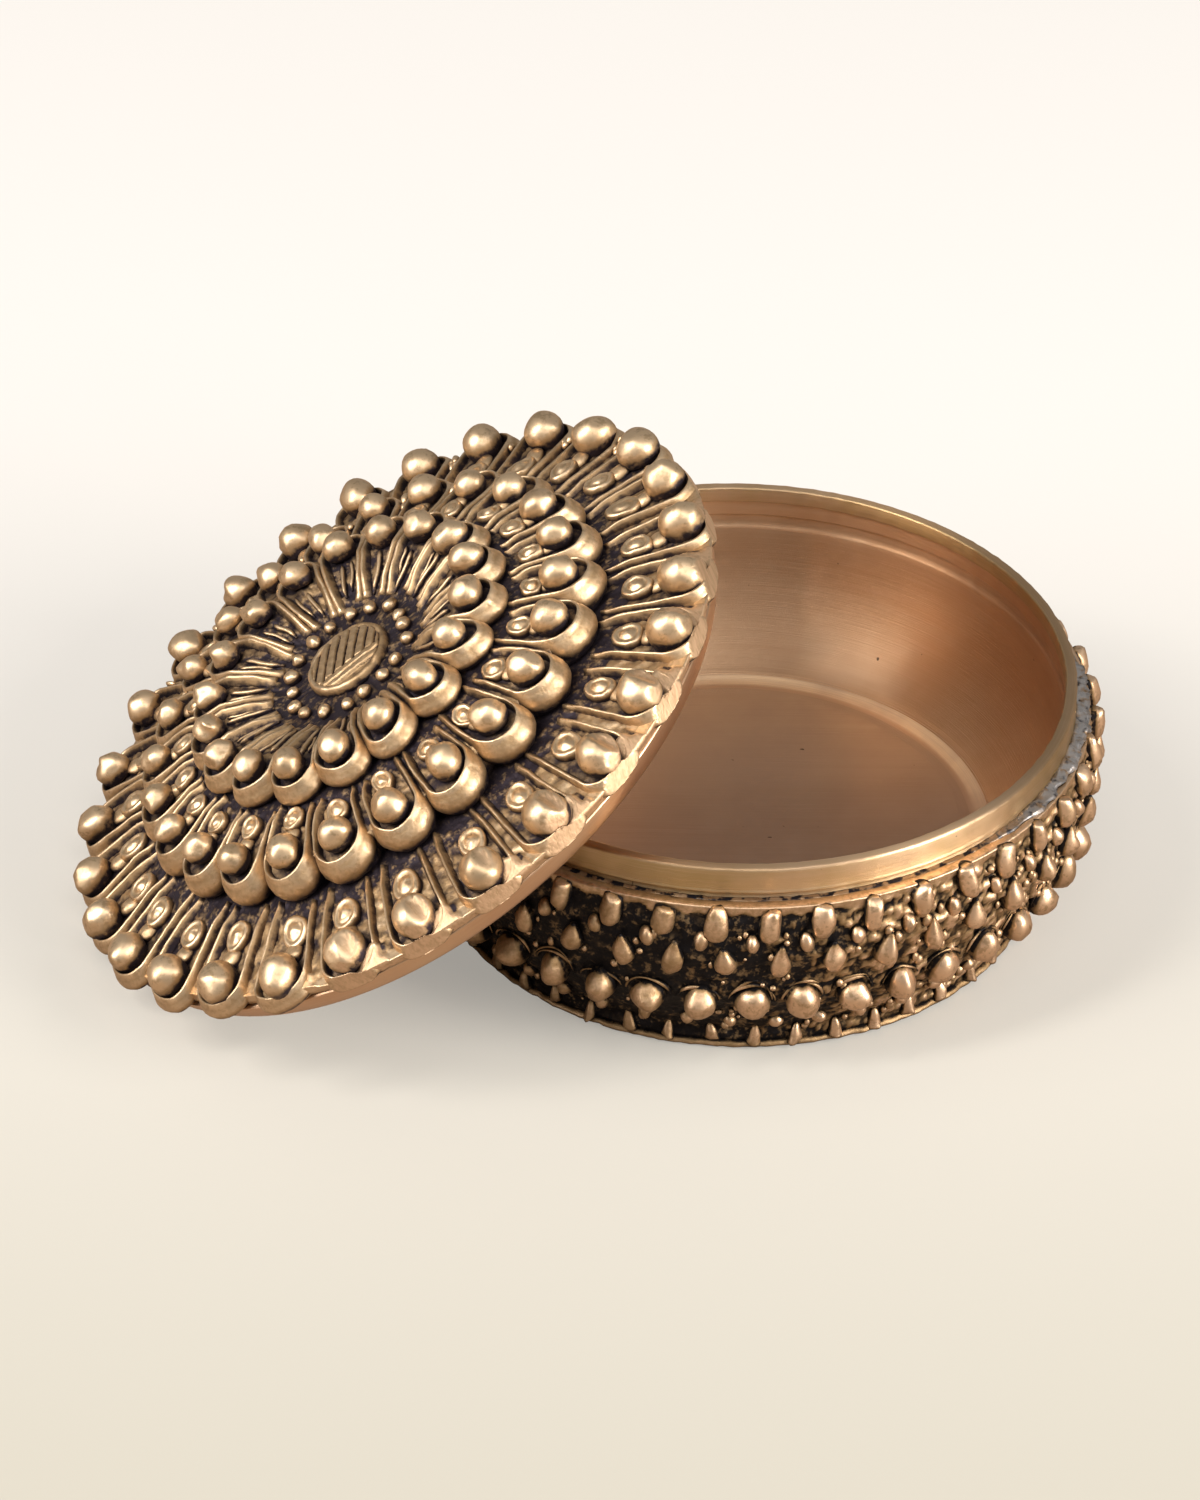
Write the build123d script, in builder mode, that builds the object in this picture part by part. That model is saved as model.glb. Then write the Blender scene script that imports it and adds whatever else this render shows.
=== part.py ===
import os
from math import cos, radians, sin

from build123d import *

os.makedirs("parts", exist_ok=True)

# A round brass kumkum box: an open base, and its domed lid, off and leaning against the base's left side
# Lengths are in millimetres, the base stands on Z = 0 round the Z axis, and the viewer is on the -Y side

# Turned cup: its collar stands above the shell's lip and carries the closed lid
collar_radius = 36.0
collar_rise = 3.7
collar_chamfer = 0.2
rim_width = 1.2
mouth_band_height = 1.9
mouth_step = 0.15
second_band_height = 2.0
groove_height = 1.0
groove_depth = 0.25
cup_wall = 1.0
cup_floor_height = 5.2
cup_floor_thickness = 1.5
cup_floor_radius = 27.2
cup_waist_radius = 33.0
cup_waist_height = 11.2
cup_foot_radius = 24.0
cup_foot_width = 3.0

# Ornamental shell round the cup, as radius and height of its outline from the foot up
lip_height = 22.4
lip_width = 1.6
lip_thickness = 1.3
shell_fit = 0.05
shell_wall = 1.5
shell_foot_radius = 32.2
shell_foot_top = 2.6
shell_waist_radius = 36.5
shell_waist_height = 9.4
shell_belly_radius = 38.2
shell_belly_height = 16.8
seam_width = 0.8
seam_height = 0.6

# Foot ring and base plate under the shell
foot_ring_width = 1.5
foot_ring_height = 0.8
foot_ring_spread = 0.5
base_plate_thickness = 1.2
base_plate_fit = 0.05

# Rows of ornament on the shell
row_count = 43
foot_row_count = 46
drop_phase = 6.1
drop_radius = 1.1
drop_length = 1.2
drop_gap = 0.1
upper_bead_phase = 3.6
upper_bead_radius = 0.85
upper_bead_height = 18.3
teardrop_phase = 8.0
teardrop_radius = 1.3
teardrop_height = 15.4
teardrop_point = 2.6
large_bead_phase = 3.7
large_bead_radius = 1.95
large_bead_height = 9.4
hood_radius = 2.6
hood_wire_radius = 0.35
lower_bead_phase = 2.2
lower_bead_radius = 0.9
lower_bead_height = 4.9
foot_grain_phase = 6.5
foot_grain_radius = 0.85
foot_grain_height = 1.75
ornament_sink = 0.35

# Lid: heights are measured from its bottom edge, along its own axis
seat_clearance = 0.3
ledge_clearance = 0.1
ledge_width = 3.5
ceiling_depth = 4.6
edge_radius = 38.3
seat_ring_height = 2.4
seat_ring_flare = 0.9
seat_ring_chamfer = 0.7
outer_tier_edge_height = 4.0
outer_tier_edge_radius = 39.3
outer_tier_top = 6.3
middle_tier_edge_height = 9.0
middle_tier_top = 11.2
inner_tier_edge_height = 12.9
inner_tier_top = 13.6
dish_floor_height = 11.9
dish_floor_radius = 8.6
dish_rim_radius = 14.9
tier_margin = 0.3
dome_bore_radius = 18.0
middle_bore_radius = 14.0
spigot_depth = 1.6
spigot_fit = 0.05
inner_plate_radius = 24.0
inner_plate_thickness = 0.8

# Rings of petals on the lid: each has a bead in a raised U-shaped wall that opens towards the centre
outer_count = 28
outer_phase = 50.72
outer_bead_circle = 37.8
outer_bead_radius = 2.3
outer_bead_lift = 1.1
outer_root_radius = 29.6
outer_root_half_width = 2.45
outer_stud_circle = 32.4
outer_stud_radius = 1.6
middle_count = 24
middle_phase = 63.67
middle_bead_circle = 26.0
middle_bead_radius = 1.9
middle_bead_lift = 1.15
middle_root_radius = 20.6
middle_root_half_width = 2.1
middle_stud_circle = 21.9
middle_stud_radius = 1.35
inner_count = 18
inner_phase = 43.47
inner_bead_circle = 16.8
inner_bead_radius = 1.8
inner_bead_lift = 1.2
inner_root_half_width = 2.15
bead_gap = 0.4
petal_wall = 0.5
petal_wall_rise = 0.9
stud_rise = 0.9
stud_dot_radius = 0.5
stud_dot_rise = 0.3
wire_width = 0.5
wire_rise = 0.6
fan_count = 54
grain_count = 18
grain_circle = 7.6
grain_radius = 0.75
medallion_radius = 5.1
medallion_rise = 1.3
bezel_width = 0.9
ridge_count = 5
ridge_width = 0.9
ridge_gap = 0.35
ridge_step = 0.3
ridge_turn = 76.5

# How the lid leans: upslope direction from +X, tilt from level, sideways offset and gap at the collar
lean_direction = 7.1
lean_tilt = 33.8
lean_offset = -1.9
lean_gap = 0.3

# Worked out: heights and radii that follow from the values above
cup_height = lip_height + collar_rise
mouth_radius = collar_radius - rim_width
neck_radius = collar_radius + shell_fit
lip_radius = neck_radius + lip_width
foot_ring_inner_radius = shell_foot_radius - foot_ring_width
base_plate_radius = foot_ring_inner_radius - base_plate_fit
seat_radius = collar_radius + seat_clearance
ledge_depth = collar_rise + ledge_clearance
recess_radius = seat_radius - ledge_width
outer_tip_half_width = outer_bead_radius + bead_gap + petal_wall
middle_tip_half_width = middle_bead_radius + bead_gap + petal_wall
inner_tip_half_width = inner_bead_radius + bead_gap + petal_wall
middle_edge_radius = middle_bead_circle + middle_tip_half_width
inner_edge_radius = inner_bead_circle + inner_tip_half_width
outer_seat_radius = middle_edge_radius + tier_margin
middle_seat_radius = inner_edge_radius + tier_margin

# Outlines of the sloping tops, each as (radius, height) pairs from the centre out
outer_top_line = [(outer_seat_radius, outer_tier_top), (outer_tier_edge_radius, outer_tier_edge_height)]
middle_top_line = [(middle_seat_radius, middle_tier_top), (middle_edge_radius, middle_tier_edge_height)]
inner_top_line = [(dish_rim_radius, inner_tier_top), (inner_edge_radius, inner_tier_edge_height)]
dish_line = [(dish_floor_radius, dish_floor_height), (dish_rim_radius, inner_tier_top)]
shell_line = [
    (shell_foot_radius, 0),
    (shell_foot_radius, shell_foot_top),
    (shell_waist_radius, shell_waist_height),
    (shell_belly_radius, shell_belly_height),
    (lip_radius, lip_height - lip_thickness),
    (lip_radius, lip_height),
]

# The lid's origin is the centre of its bottom edge, which touches the ground at its lowest point
lean_height = edge_radius * sin(radians(lean_tilt))
collar_lift = cos(radians(lean_tilt)) * (cup_height - lean_height)
lean_reach = collar_radius - (ceiling_depth - lean_gap - collar_lift) / sin(radians(lean_tilt))
uphill = Vector(cos(radians(lean_direction)), sin(radians(lean_direction)), 0)
sideways = Vector(-sin(radians(lean_direction)), cos(radians(lean_direction)), 0)
lid_origin = sideways * lean_offset - uphill * lean_reach + Vector(0, 0, lean_height)
lid_slope = uphill * cos(radians(lean_tilt)) + Vector(0, 0, sin(radians(lean_tilt)))
lid_plane = Plane(origin=lid_origin, x_dir=lid_slope, z_dir=lid_slope.cross(sideways))
lid_section = Plane(origin=lid_origin, x_dir=lid_slope, z_dir=sideways * -1)
lid_axis = Axis(origin=lid_origin, direction=lid_plane.z_dir)


def height_on(line, radius):
    """Height at a radius on a sloping top, given by its two (radius, height) ends."""
    (r0, z0), (r1, z1) = line
    return z0 + (z1 - z0) * (radius - r0) / (r1 - r0)


def shell_radius(height):
    """Radius of the shell's outline at a height."""
    for (r0, z0), (r1, z1) in zip(shell_line, shell_line[1:]):
        if z0 <= height <= z1 and z1 > z0:
            return r0 + (r1 - r0) * (height - z0) / (z1 - z0)
    return lip_radius


def band(line, rise):
    """Section of a band that follows a sloping top, from just under it up to a rise."""
    (r0, z0), (r1, z1) = line
    return [(r0, z0 - ornament_sink), (r1, z1 - ornament_sink), (r1, z1 + rise), (r0, z0 + rise)]


def stretch(line, inner_radius, outer_radius):
    """The same sloping top between two other radii."""
    return [(radius, height_on(line, radius)) for radius in (inner_radius, outer_radius)]


def petal(tip_circle, tip_half_width, root_radius, root_half_width):
    """Plan of one petal on the +X side: straight sides that close in a round tip."""
    with BuildSketch(mode=Mode.PRIVATE) as plan:
        with BuildLine():
            Polyline(
                (tip_circle, tip_half_width),
                (root_radius, root_half_width),
                (root_radius, -root_half_width),
                (tip_circle, -tip_half_width),
            )
            ThreePointArc(
                (tip_circle, -tip_half_width),
                (tip_circle + tip_half_width, 0),
                (tip_circle, tip_half_width),
            )
        make_face()
    return plan.sketch


def write_part(piece, name):
    """Name a finished piece and save it."""
    piece.part.label = name
    export_step(piece.part, f"parts/{name}.step")


# Plans of the petals, and of the hollows inside their walls
outer_petal = petal(outer_bead_circle, outer_tip_half_width, outer_root_radius, outer_root_half_width)
middle_petal = petal(middle_bead_circle, middle_tip_half_width, middle_root_radius, middle_root_half_width)
inner_petal = petal(inner_bead_circle, inner_tip_half_width, dish_rim_radius, inner_root_half_width)
outer_hollow = petal(
    outer_bead_circle, outer_tip_half_width - petal_wall,
    outer_root_radius - petal_wall, outer_root_half_width - petal_wall,
)
middle_hollow = petal(
    middle_bead_circle, middle_tip_half_width - petal_wall,
    middle_root_radius - petal_wall, middle_root_half_width - petal_wall,
)
inner_hollow = petal(
    inner_bead_circle, inner_tip_half_width - petal_wall,
    dish_rim_radius - petal_wall, inner_root_half_width - petal_wall,
)

# Inner cup: turned in one piece with its collar, its stepped mouth and a ring foot
mouth_step_height = cup_height - mouth_band_height
groove_top = mouth_step_height - second_band_height
groove_bottom = groove_top - groove_height
second_radius = mouth_radius + mouth_step
cup_foot_inner_radius = cup_foot_radius - cup_foot_width
cup_underside = cup_floor_height - cup_floor_thickness
with BuildPart() as inner_cup:
    with BuildSketch(Plane.XZ):
        with BuildLine():
            Polyline(
                (second_radius, groove_bottom),
                (second_radius + groove_depth, groove_bottom),
                (second_radius + groove_depth, groove_top),
                (second_radius, groove_top),
                (second_radius, mouth_step_height),
                (mouth_radius, mouth_step_height),
                (mouth_radius, cup_height - collar_chamfer),
                (mouth_radius + collar_chamfer, cup_height),
                (collar_radius - collar_chamfer, cup_height),
                (collar_radius, cup_height - collar_chamfer),
                (collar_radius, groove_bottom),
            )
            ThreePointArc(
                (collar_radius, groove_bottom),
                (cup_waist_radius + cup_wall, cup_waist_height),
                (cup_floor_radius + cup_wall, cup_underside),
            )
            Polyline(
                (cup_floor_radius + cup_wall, cup_underside),
                (cup_foot_radius, cup_underside),
                (cup_foot_radius, base_plate_thickness),
                (cup_foot_inner_radius, base_plate_thickness),
                (cup_foot_inner_radius, cup_underside),
                (0, cup_underside),
                (0, cup_floor_height),
                (cup_floor_radius, cup_floor_height),
            )
            ThreePointArc(
                (cup_floor_radius, cup_floor_height),
                (cup_waist_radius, cup_waist_height),
                (second_radius, groove_bottom),
            )
        make_face()
    revolve(axis=Axis.Z)
write_part(inner_cup, "inner_cup")

# Outer shell: the cast body, open below, with a plain lip round the cup's neck
with BuildPart() as outer_shell:
    with BuildSketch(Plane.XZ):
        with BuildLine():
            Polyline(
                (shell_foot_radius, foot_ring_height),
                *shell_line[1:],
                (neck_radius, lip_height),
                (neck_radius, lip_height - lip_thickness),
                (shell_belly_radius - shell_wall, shell_belly_height),
                (shell_waist_radius - shell_wall, shell_waist_height),
                (foot_ring_inner_radius, shell_foot_top),
                (foot_ring_inner_radius, foot_ring_height),
                close=True,
            )
        make_face()
    revolve(axis=Axis.Z)
write_part(outer_shell, "outer_shell")

# Foot ring: the thin line that the shell stands on
with BuildPart() as foot_ring:
    with BuildSketch(Plane.XZ):
        with BuildLine():
            Polyline(
                (foot_ring_inner_radius, 0),
                (shell_foot_radius, 0),
                (shell_foot_radius + foot_ring_spread, foot_ring_height / 2),
                (shell_foot_radius + foot_ring_spread / 2, foot_ring_height),
                (foot_ring_inner_radius, foot_ring_height),
                close=True,
            )
        make_face()
    revolve(axis=Axis.Z)
write_part(foot_ring, "foot_ring")

# Base plate: a plain disc let into the foot ring, with the cup's ring foot standing on it
with BuildPart() as base_plate:
    with BuildSketch(Plane.XY):
        Circle(base_plate_radius)
    extrude(amount=base_plate_thickness)
write_part(base_plate, "base_plate")

# Solder seam: the grey fillet between the collar and the lip
with BuildPart() as solder_seam:
    with BuildSketch(Plane.XZ):
        with BuildLine():
            Polyline(
                (collar_radius, lip_height),
                (collar_radius + seam_width, lip_height),
                (collar_radius, lip_height + seam_height),
                close=True,
            )
        make_face()
    revolve(axis=Axis.Z)
write_part(solder_seam, "solder_seam")

# Lip drops: round-ended studs that hang under the lip
drop_top = lip_height - lip_thickness - drop_gap
drop_bottom = drop_top - drop_length
drop_circle = shell_radius(drop_bottom) + drop_radius - ornament_sink * 2
with BuildPart(Plane.XY.offset(drop_bottom)) as lip_drops:
    with PolarLocations(drop_circle, row_count, start_angle=drop_phase):
        Cylinder(drop_radius, drop_length, align=(Align.CENTER, Align.CENTER, Align.MIN))
        Sphere(drop_radius)
write_part(lip_drops, "lip_drops")

# Upper beads: small, between the lip drops
with BuildPart(Plane.XY.offset(upper_bead_height)) as upper_beads:
    bead_circle = shell_radius(upper_bead_height) + upper_bead_radius - ornament_sink
    with PolarLocations(bead_circle, row_count, start_angle=upper_bead_phase):
        Sphere(upper_bead_radius)
write_part(upper_beads, "upper_beads")

# Teardrops: a round belly under a long point
with BuildPart(Plane.XY.offset(teardrop_height)) as teardrops:
    bead_circle = shell_radius(teardrop_height) + teardrop_radius - ornament_sink * 2
    with PolarLocations(bead_circle, row_count, start_angle=teardrop_phase):
        Sphere(teardrop_radius)
        Cone(
            teardrop_radius, teardrop_radius / 4, teardrop_point,
            align=(Align.CENTER, Align.CENTER, Align.MIN),
        )
write_part(teardrops, "teardrops")

# Large beads: the main row, low on the shell
large_bead_circle = shell_radius(large_bead_height) + ornament_sink
with BuildPart(Plane.XY.offset(large_bead_height)) as large_beads:
    with PolarLocations(large_bead_circle, row_count, start_angle=large_bead_phase):
        Sphere(large_bead_radius)
write_part(large_beads, "large_beads")

# Hood wires: a half ring of wire over each large bead
hood_circle = shell_radius(large_bead_height + hood_radius) + hood_wire_radius - ornament_sink
with BuildPart(Plane.XY.offset(large_bead_height)) as hood_wires:
    with PolarLocations(hood_circle, row_count, start_angle=large_bead_phase):
        Torus(hood_radius, hood_wire_radius, major_angle=180, rotation=(90, 90, 0))
write_part(hood_wires, "hood_wires")

# Lower beads: small, in a closer row under the large ones
with BuildPart(Plane.XY.offset(lower_bead_height)) as lower_beads:
    bead_circle = shell_radius(lower_bead_height) + lower_bead_radius - ornament_sink
    with PolarLocations(bead_circle, foot_row_count, start_angle=lower_bead_phase):
        Sphere(lower_bead_radius)
write_part(lower_beads, "lower_beads")

# Foot grains: the lowest row, just above the foot ring
with BuildPart(Plane.XY.offset(foot_grain_height)) as foot_grains:
    bead_circle = shell_radius(foot_grain_height) + foot_grain_radius - ornament_sink
    with PolarLocations(bead_circle, foot_row_count, start_angle=foot_grain_phase):
        Sphere(foot_grain_radius)
write_part(foot_grains, "foot_grains")

# Lid seat ring: the smooth side band, which slips over the collar and touches the ground
with BuildPart() as lid_seat_ring:
    with BuildSketch(lid_section):
        with BuildLine():
            Polyline(
                (seat_radius + seat_ring_chamfer, 0),
                (edge_radius, 0),
                (edge_radius + seat_ring_flare, seat_ring_height),
                (seat_radius, seat_ring_height),
                (seat_radius, seat_ring_chamfer),
                close=True,
            )
        make_face()
    revolve(axis=lid_axis)
write_part(lid_seat_ring, "lid_seat_ring")

# Lid dome: the outer cast plate, with a scalloped edge, a ledge for the collar and a rebate for its plate
with BuildPart() as lid_dome:
    with BuildSketch(lid_section):
        with BuildLine():
            Polyline(
                (seat_radius, seat_ring_height),
                (outer_bead_circle + outer_tip_half_width, seat_ring_height),
                (
                    outer_bead_circle + outer_tip_half_width,
                    height_on(outer_top_line, outer_bead_circle + outer_tip_half_width),
                ),
                (outer_seat_radius, outer_tier_top),
                (dome_bore_radius, outer_tier_top),
                (dome_bore_radius, ceiling_depth + inner_plate_thickness),
                (inner_plate_radius, ceiling_depth + inner_plate_thickness),
                (inner_plate_radius, ceiling_depth),
                (recess_radius, ceiling_depth),
                (recess_radius, ledge_depth),
                (seat_radius, ledge_depth),
                close=True,
            )
        make_face()
    revolve(axis=lid_axis)
    with BuildSketch(lid_plane):
        Circle(outer_tier_edge_radius)
        with PolarLocations(0, outer_count, start_angle=outer_phase):
            add(outer_petal)
    extrude(amount=middle_tier_top, mode=Mode.INTERSECT)
write_part(lid_dome, "lid_dome")

# Lid inner plate: a thin disc that closes the hollow dome from below
with BuildPart() as lid_inner_plate:
    with BuildSketch(lid_plane.offset(ceiling_depth)):
        Circle(inner_plate_radius - spigot_fit)
    extrude(amount=inner_plate_thickness)
write_part(lid_inner_plate, "lid_inner_plate")

# Outer petals: U-shaped walls on the dome
with BuildPart() as outer_petals:
    with BuildSketch(lid_section):
        with BuildLine():
            outer_tip = outer_bead_circle + outer_tip_half_width
            outer_reach = stretch(outer_top_line, outer_root_radius, outer_tip)
            Polyline(*band(outer_reach, petal_wall_rise), close=True)
        make_face()
    revolve(axis=lid_axis)
    with BuildSketch(lid_plane):
        with PolarLocations(0, outer_count, start_angle=outer_phase):
            add(outer_petal)
            add(outer_hollow, mode=Mode.SUBTRACT)
    extrude(amount=middle_tier_top, mode=Mode.INTERSECT)
write_part(outer_petals, "outer_petals")

# Outer beads and the flat studs just inside them
outer_bead_height = height_on(outer_top_line, outer_bead_circle) + outer_bead_lift
with BuildPart(lid_plane.offset(outer_bead_height)) as outer_beads:
    with PolarLocations(outer_bead_circle, outer_count, start_angle=outer_phase):
        Sphere(outer_bead_radius)
write_part(outer_beads, "outer_beads")

outer_stud_seat = height_on(outer_top_line, outer_stud_circle) - ornament_sink
with BuildPart(lid_plane.offset(outer_stud_seat)) as outer_studs:
    with PolarLocations(outer_stud_circle, outer_count, start_angle=outer_phase):
        Cylinder(outer_stud_radius, stud_rise, align=(Align.CENTER, Align.CENTER, Align.MIN))
        Cylinder(stud_dot_radius, stud_rise + stud_dot_rise, align=(Align.CENTER, Align.CENTER, Align.MIN))
write_part(outer_studs, "outer_studs")

# Middle tier: a scalloped plate on the dome
with BuildPart() as middle_tier:
    with BuildSketch(lid_section):
        with BuildLine():
            Polyline(
                (middle_bore_radius, outer_tier_top),
                (middle_edge_radius, outer_tier_top),
                (middle_edge_radius, middle_tier_edge_height),
                (middle_seat_radius, middle_tier_top),
                (middle_bore_radius, middle_tier_top),
                close=True,
            )
        make_face()
    revolve(axis=lid_axis)
    with BuildSketch(lid_plane):
        Circle(middle_bead_circle)
        with PolarLocations(0, middle_count, start_angle=middle_phase):
            add(middle_petal)
    extrude(amount=inner_tier_top, mode=Mode.INTERSECT)
write_part(middle_tier, "middle_tier")

# Middle petals: U-shaped walls on the middle tier
with BuildPart() as middle_petals:
    with BuildSketch(lid_section):
        with BuildLine():
            middle_reach = stretch(middle_top_line, middle_root_radius, middle_edge_radius)
            Polyline(*band(middle_reach, petal_wall_rise), close=True)
        make_face()
    revolve(axis=lid_axis)
    with BuildSketch(lid_plane):
        with PolarLocations(0, middle_count, start_angle=middle_phase):
            add(middle_petal)
            add(middle_hollow, mode=Mode.SUBTRACT)
    extrude(amount=inner_tier_top, mode=Mode.INTERSECT)
write_part(middle_petals, "middle_petals")

# Middle beads and the studs just inside them
middle_bead_height = height_on(middle_top_line, middle_bead_circle) + middle_bead_lift
with BuildPart(lid_plane.offset(middle_bead_height)) as middle_beads:
    with PolarLocations(middle_bead_circle, middle_count, start_angle=middle_phase):
        Sphere(middle_bead_radius)
write_part(middle_beads, "middle_beads")

middle_stud_seat = height_on(middle_top_line, middle_stud_circle) - ornament_sink
with BuildPart(lid_plane.offset(middle_stud_seat)) as middle_studs:
    with PolarLocations(middle_stud_circle, middle_count, start_angle=middle_phase):
        Cylinder(middle_stud_radius, stud_rise, align=(Align.CENTER, Align.CENTER, Align.MIN))
        Cylinder(stud_dot_radius, stud_rise + stud_dot_rise, align=(Align.CENTER, Align.CENTER, Align.MIN))
write_part(middle_studs, "middle_studs")

# Inner tier: the top plate, dished in the middle, with a spigot in the middle tier's bore
with BuildPart() as inner_tier:
    with BuildSketch(lid_section):
        with BuildLine():
            Polyline(
                (0, middle_tier_top - spigot_depth),
                (middle_bore_radius - spigot_fit, middle_tier_top - spigot_depth),
                (middle_bore_radius - spigot_fit, middle_tier_top),
                (inner_edge_radius, middle_tier_top),
                (inner_edge_radius, inner_tier_edge_height),
                (dish_rim_radius, inner_tier_top),
                (dish_floor_radius, dish_floor_height),
                (0, dish_floor_height),
                close=True,
            )
        make_face()
    revolve(axis=lid_axis)
    with BuildSketch(lid_plane):
        Circle(inner_bead_circle)
        with PolarLocations(0, inner_count, start_angle=inner_phase):
            add(inner_petal)
    extrude(amount=inner_tier_top * 2, mode=Mode.INTERSECT)
write_part(inner_tier, "inner_tier")

# Inner petals: U-shaped walls on the inner tier
with BuildPart() as inner_petals:
    with BuildSketch(lid_section):
        with BuildLine():
            Polyline(*band(inner_top_line, petal_wall_rise), close=True)
        make_face()
    revolve(axis=lid_axis)
    with BuildSketch(lid_plane):
        with PolarLocations(0, inner_count, start_angle=inner_phase):
            add(inner_petal)
            add(inner_hollow, mode=Mode.SUBTRACT)
    extrude(amount=inner_tier_top * 2, mode=Mode.INTERSECT)
write_part(inner_petals, "inner_petals")

# Inner beads
inner_bead_height = height_on(inner_top_line, inner_bead_circle) + inner_bead_lift
with BuildPart(lid_plane.offset(inner_bead_height)) as inner_beads:
    with PolarLocations(inner_bead_circle, inner_count, start_angle=inner_phase):
        Sphere(inner_bead_radius)
write_part(inner_beads, "inner_beads")

# Fan wires: fine radial wires on the slope of the dish
with BuildPart() as fan_wires:
    with BuildSketch(lid_section):
        with BuildLine():
            Polyline(*band(dish_line, wire_rise), close=True)
        make_face()
    revolve(axis=lid_axis)
    with BuildSketch(lid_plane):
        with PolarLocations(0, fan_count, start_angle=inner_phase + 180 / fan_count):
            with Locations(((dish_floor_radius + dish_rim_radius) / 2, 0)):
                Rectangle(dish_rim_radius - dish_floor_radius + 1, wire_width)
    extrude(amount=inner_tier_top * 2, mode=Mode.INTERSECT)
write_part(fan_wires, "fan_wires")

# Centre grains: a ring of small balls in the dish
with BuildPart(lid_plane.offset(dish_floor_height + grain_radius - ornament_sink)) as centre_grains:
    with PolarLocations(grain_circle, grain_count):
        Sphere(grain_radius)
write_part(centre_grains, "centre_grains")

# Medallion bezel: the raised rim of the round boss at the centre
with BuildPart() as medallion_bezel:
    with BuildSketch(lid_plane.offset(dish_floor_height)):
        Circle(medallion_radius)
        Circle(medallion_radius - bezel_width, mode=Mode.SUBTRACT)
    extrude(amount=medallion_rise)
    chamfer(medallion_bezel.edges().group_by(lid_axis)[-1].sort_by(SortBy.LENGTH)[-1], bezel_width / 3)
write_part(medallion_bezel, "medallion_bezel")

# Medallion plate: a disc inside the bezel with raised parallel ridges
plate_radius = medallion_radius - bezel_width
plate_thickness = medallion_rise - ridge_step * 2
ridge_pitch = ridge_width + ridge_gap
with BuildPart() as medallion_plate:
    with BuildSketch(lid_plane.offset(dish_floor_height)):
        Circle(plate_radius)
    extrude(amount=plate_thickness)
    with BuildSketch(lid_plane.offset(dish_floor_height + plate_thickness / 2)):
        with PolarLocations(0, 1, start_angle=ridge_turn):
            with GridLocations(0, ridge_pitch, 1, ridge_count):
                Rectangle(plate_radius * 2, ridge_width)
        Circle(plate_radius, mode=Mode.INTERSECT)
    extrude(amount=plate_thickness / 2 + ridge_step)
write_part(medallion_plate, "medallion_plate")
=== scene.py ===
# %% [markdown]
# # A kumkum box in cast and turned brass
# The box is a turned cup in a cast, beaded shell. Its domed lid lies against the left side, tilted, and shows
# three scalloped tiers of petals. The imported CAD model gives the fixed frame: every piece made here sits where
# the CAD says, and adds what casting, filing, polishing and years of tarnish do to plain solids. Some light and
# shade is also painted into the colours.

# %% Load the fixed frame
import math

import bpy
import bmesh
import numpy as np
from mathutils import Matrix


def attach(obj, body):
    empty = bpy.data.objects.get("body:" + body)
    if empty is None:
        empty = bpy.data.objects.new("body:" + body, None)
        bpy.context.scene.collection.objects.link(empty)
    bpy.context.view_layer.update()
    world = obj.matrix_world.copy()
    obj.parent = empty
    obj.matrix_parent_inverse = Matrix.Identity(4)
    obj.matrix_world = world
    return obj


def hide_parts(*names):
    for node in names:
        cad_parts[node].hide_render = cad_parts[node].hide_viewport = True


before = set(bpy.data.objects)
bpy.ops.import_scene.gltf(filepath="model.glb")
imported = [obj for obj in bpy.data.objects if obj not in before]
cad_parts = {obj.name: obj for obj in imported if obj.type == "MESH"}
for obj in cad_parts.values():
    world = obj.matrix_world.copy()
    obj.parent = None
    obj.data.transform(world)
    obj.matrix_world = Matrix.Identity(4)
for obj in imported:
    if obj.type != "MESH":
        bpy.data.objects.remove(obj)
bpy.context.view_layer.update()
MM = 0.001
random = np.random.default_rng(38)

# %% [markdown]
# The camera stands in front of the box and above it, and looks down at about 36 degrees through a long lens, as
# a product photographer does to keep circles looking like true ellipses. The rows of the matrix are the camera's
# own right, up and backward directions.

# %% Camera
camera_data = bpy.data.cameras.new("camera")
camera_data.sensor_fit = "VERTICAL"
camera_data.sensor_height = 36
camera_data.lens = 144
camera = bpy.data.objects.new("camera", camera_data)
bpy.context.collection.objects.link(camera)
camera_axes = np.array([
    (0.99991756, 0.00753803, 0.01039451),
    (-0.01284009, 0.58702165, 0.8094694),
    (0, -0.80953614, 0.58707005),
])
camera_place = np.eye(4)
camera_place[:3, :3] = camera_axes.T
camera_place[:3, 3] = np.array((-15.009, -525.866, 396.290)) * MM
camera.matrix_world = Matrix(camera_place.tolist())
bpy.context.scene.camera = camera
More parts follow.
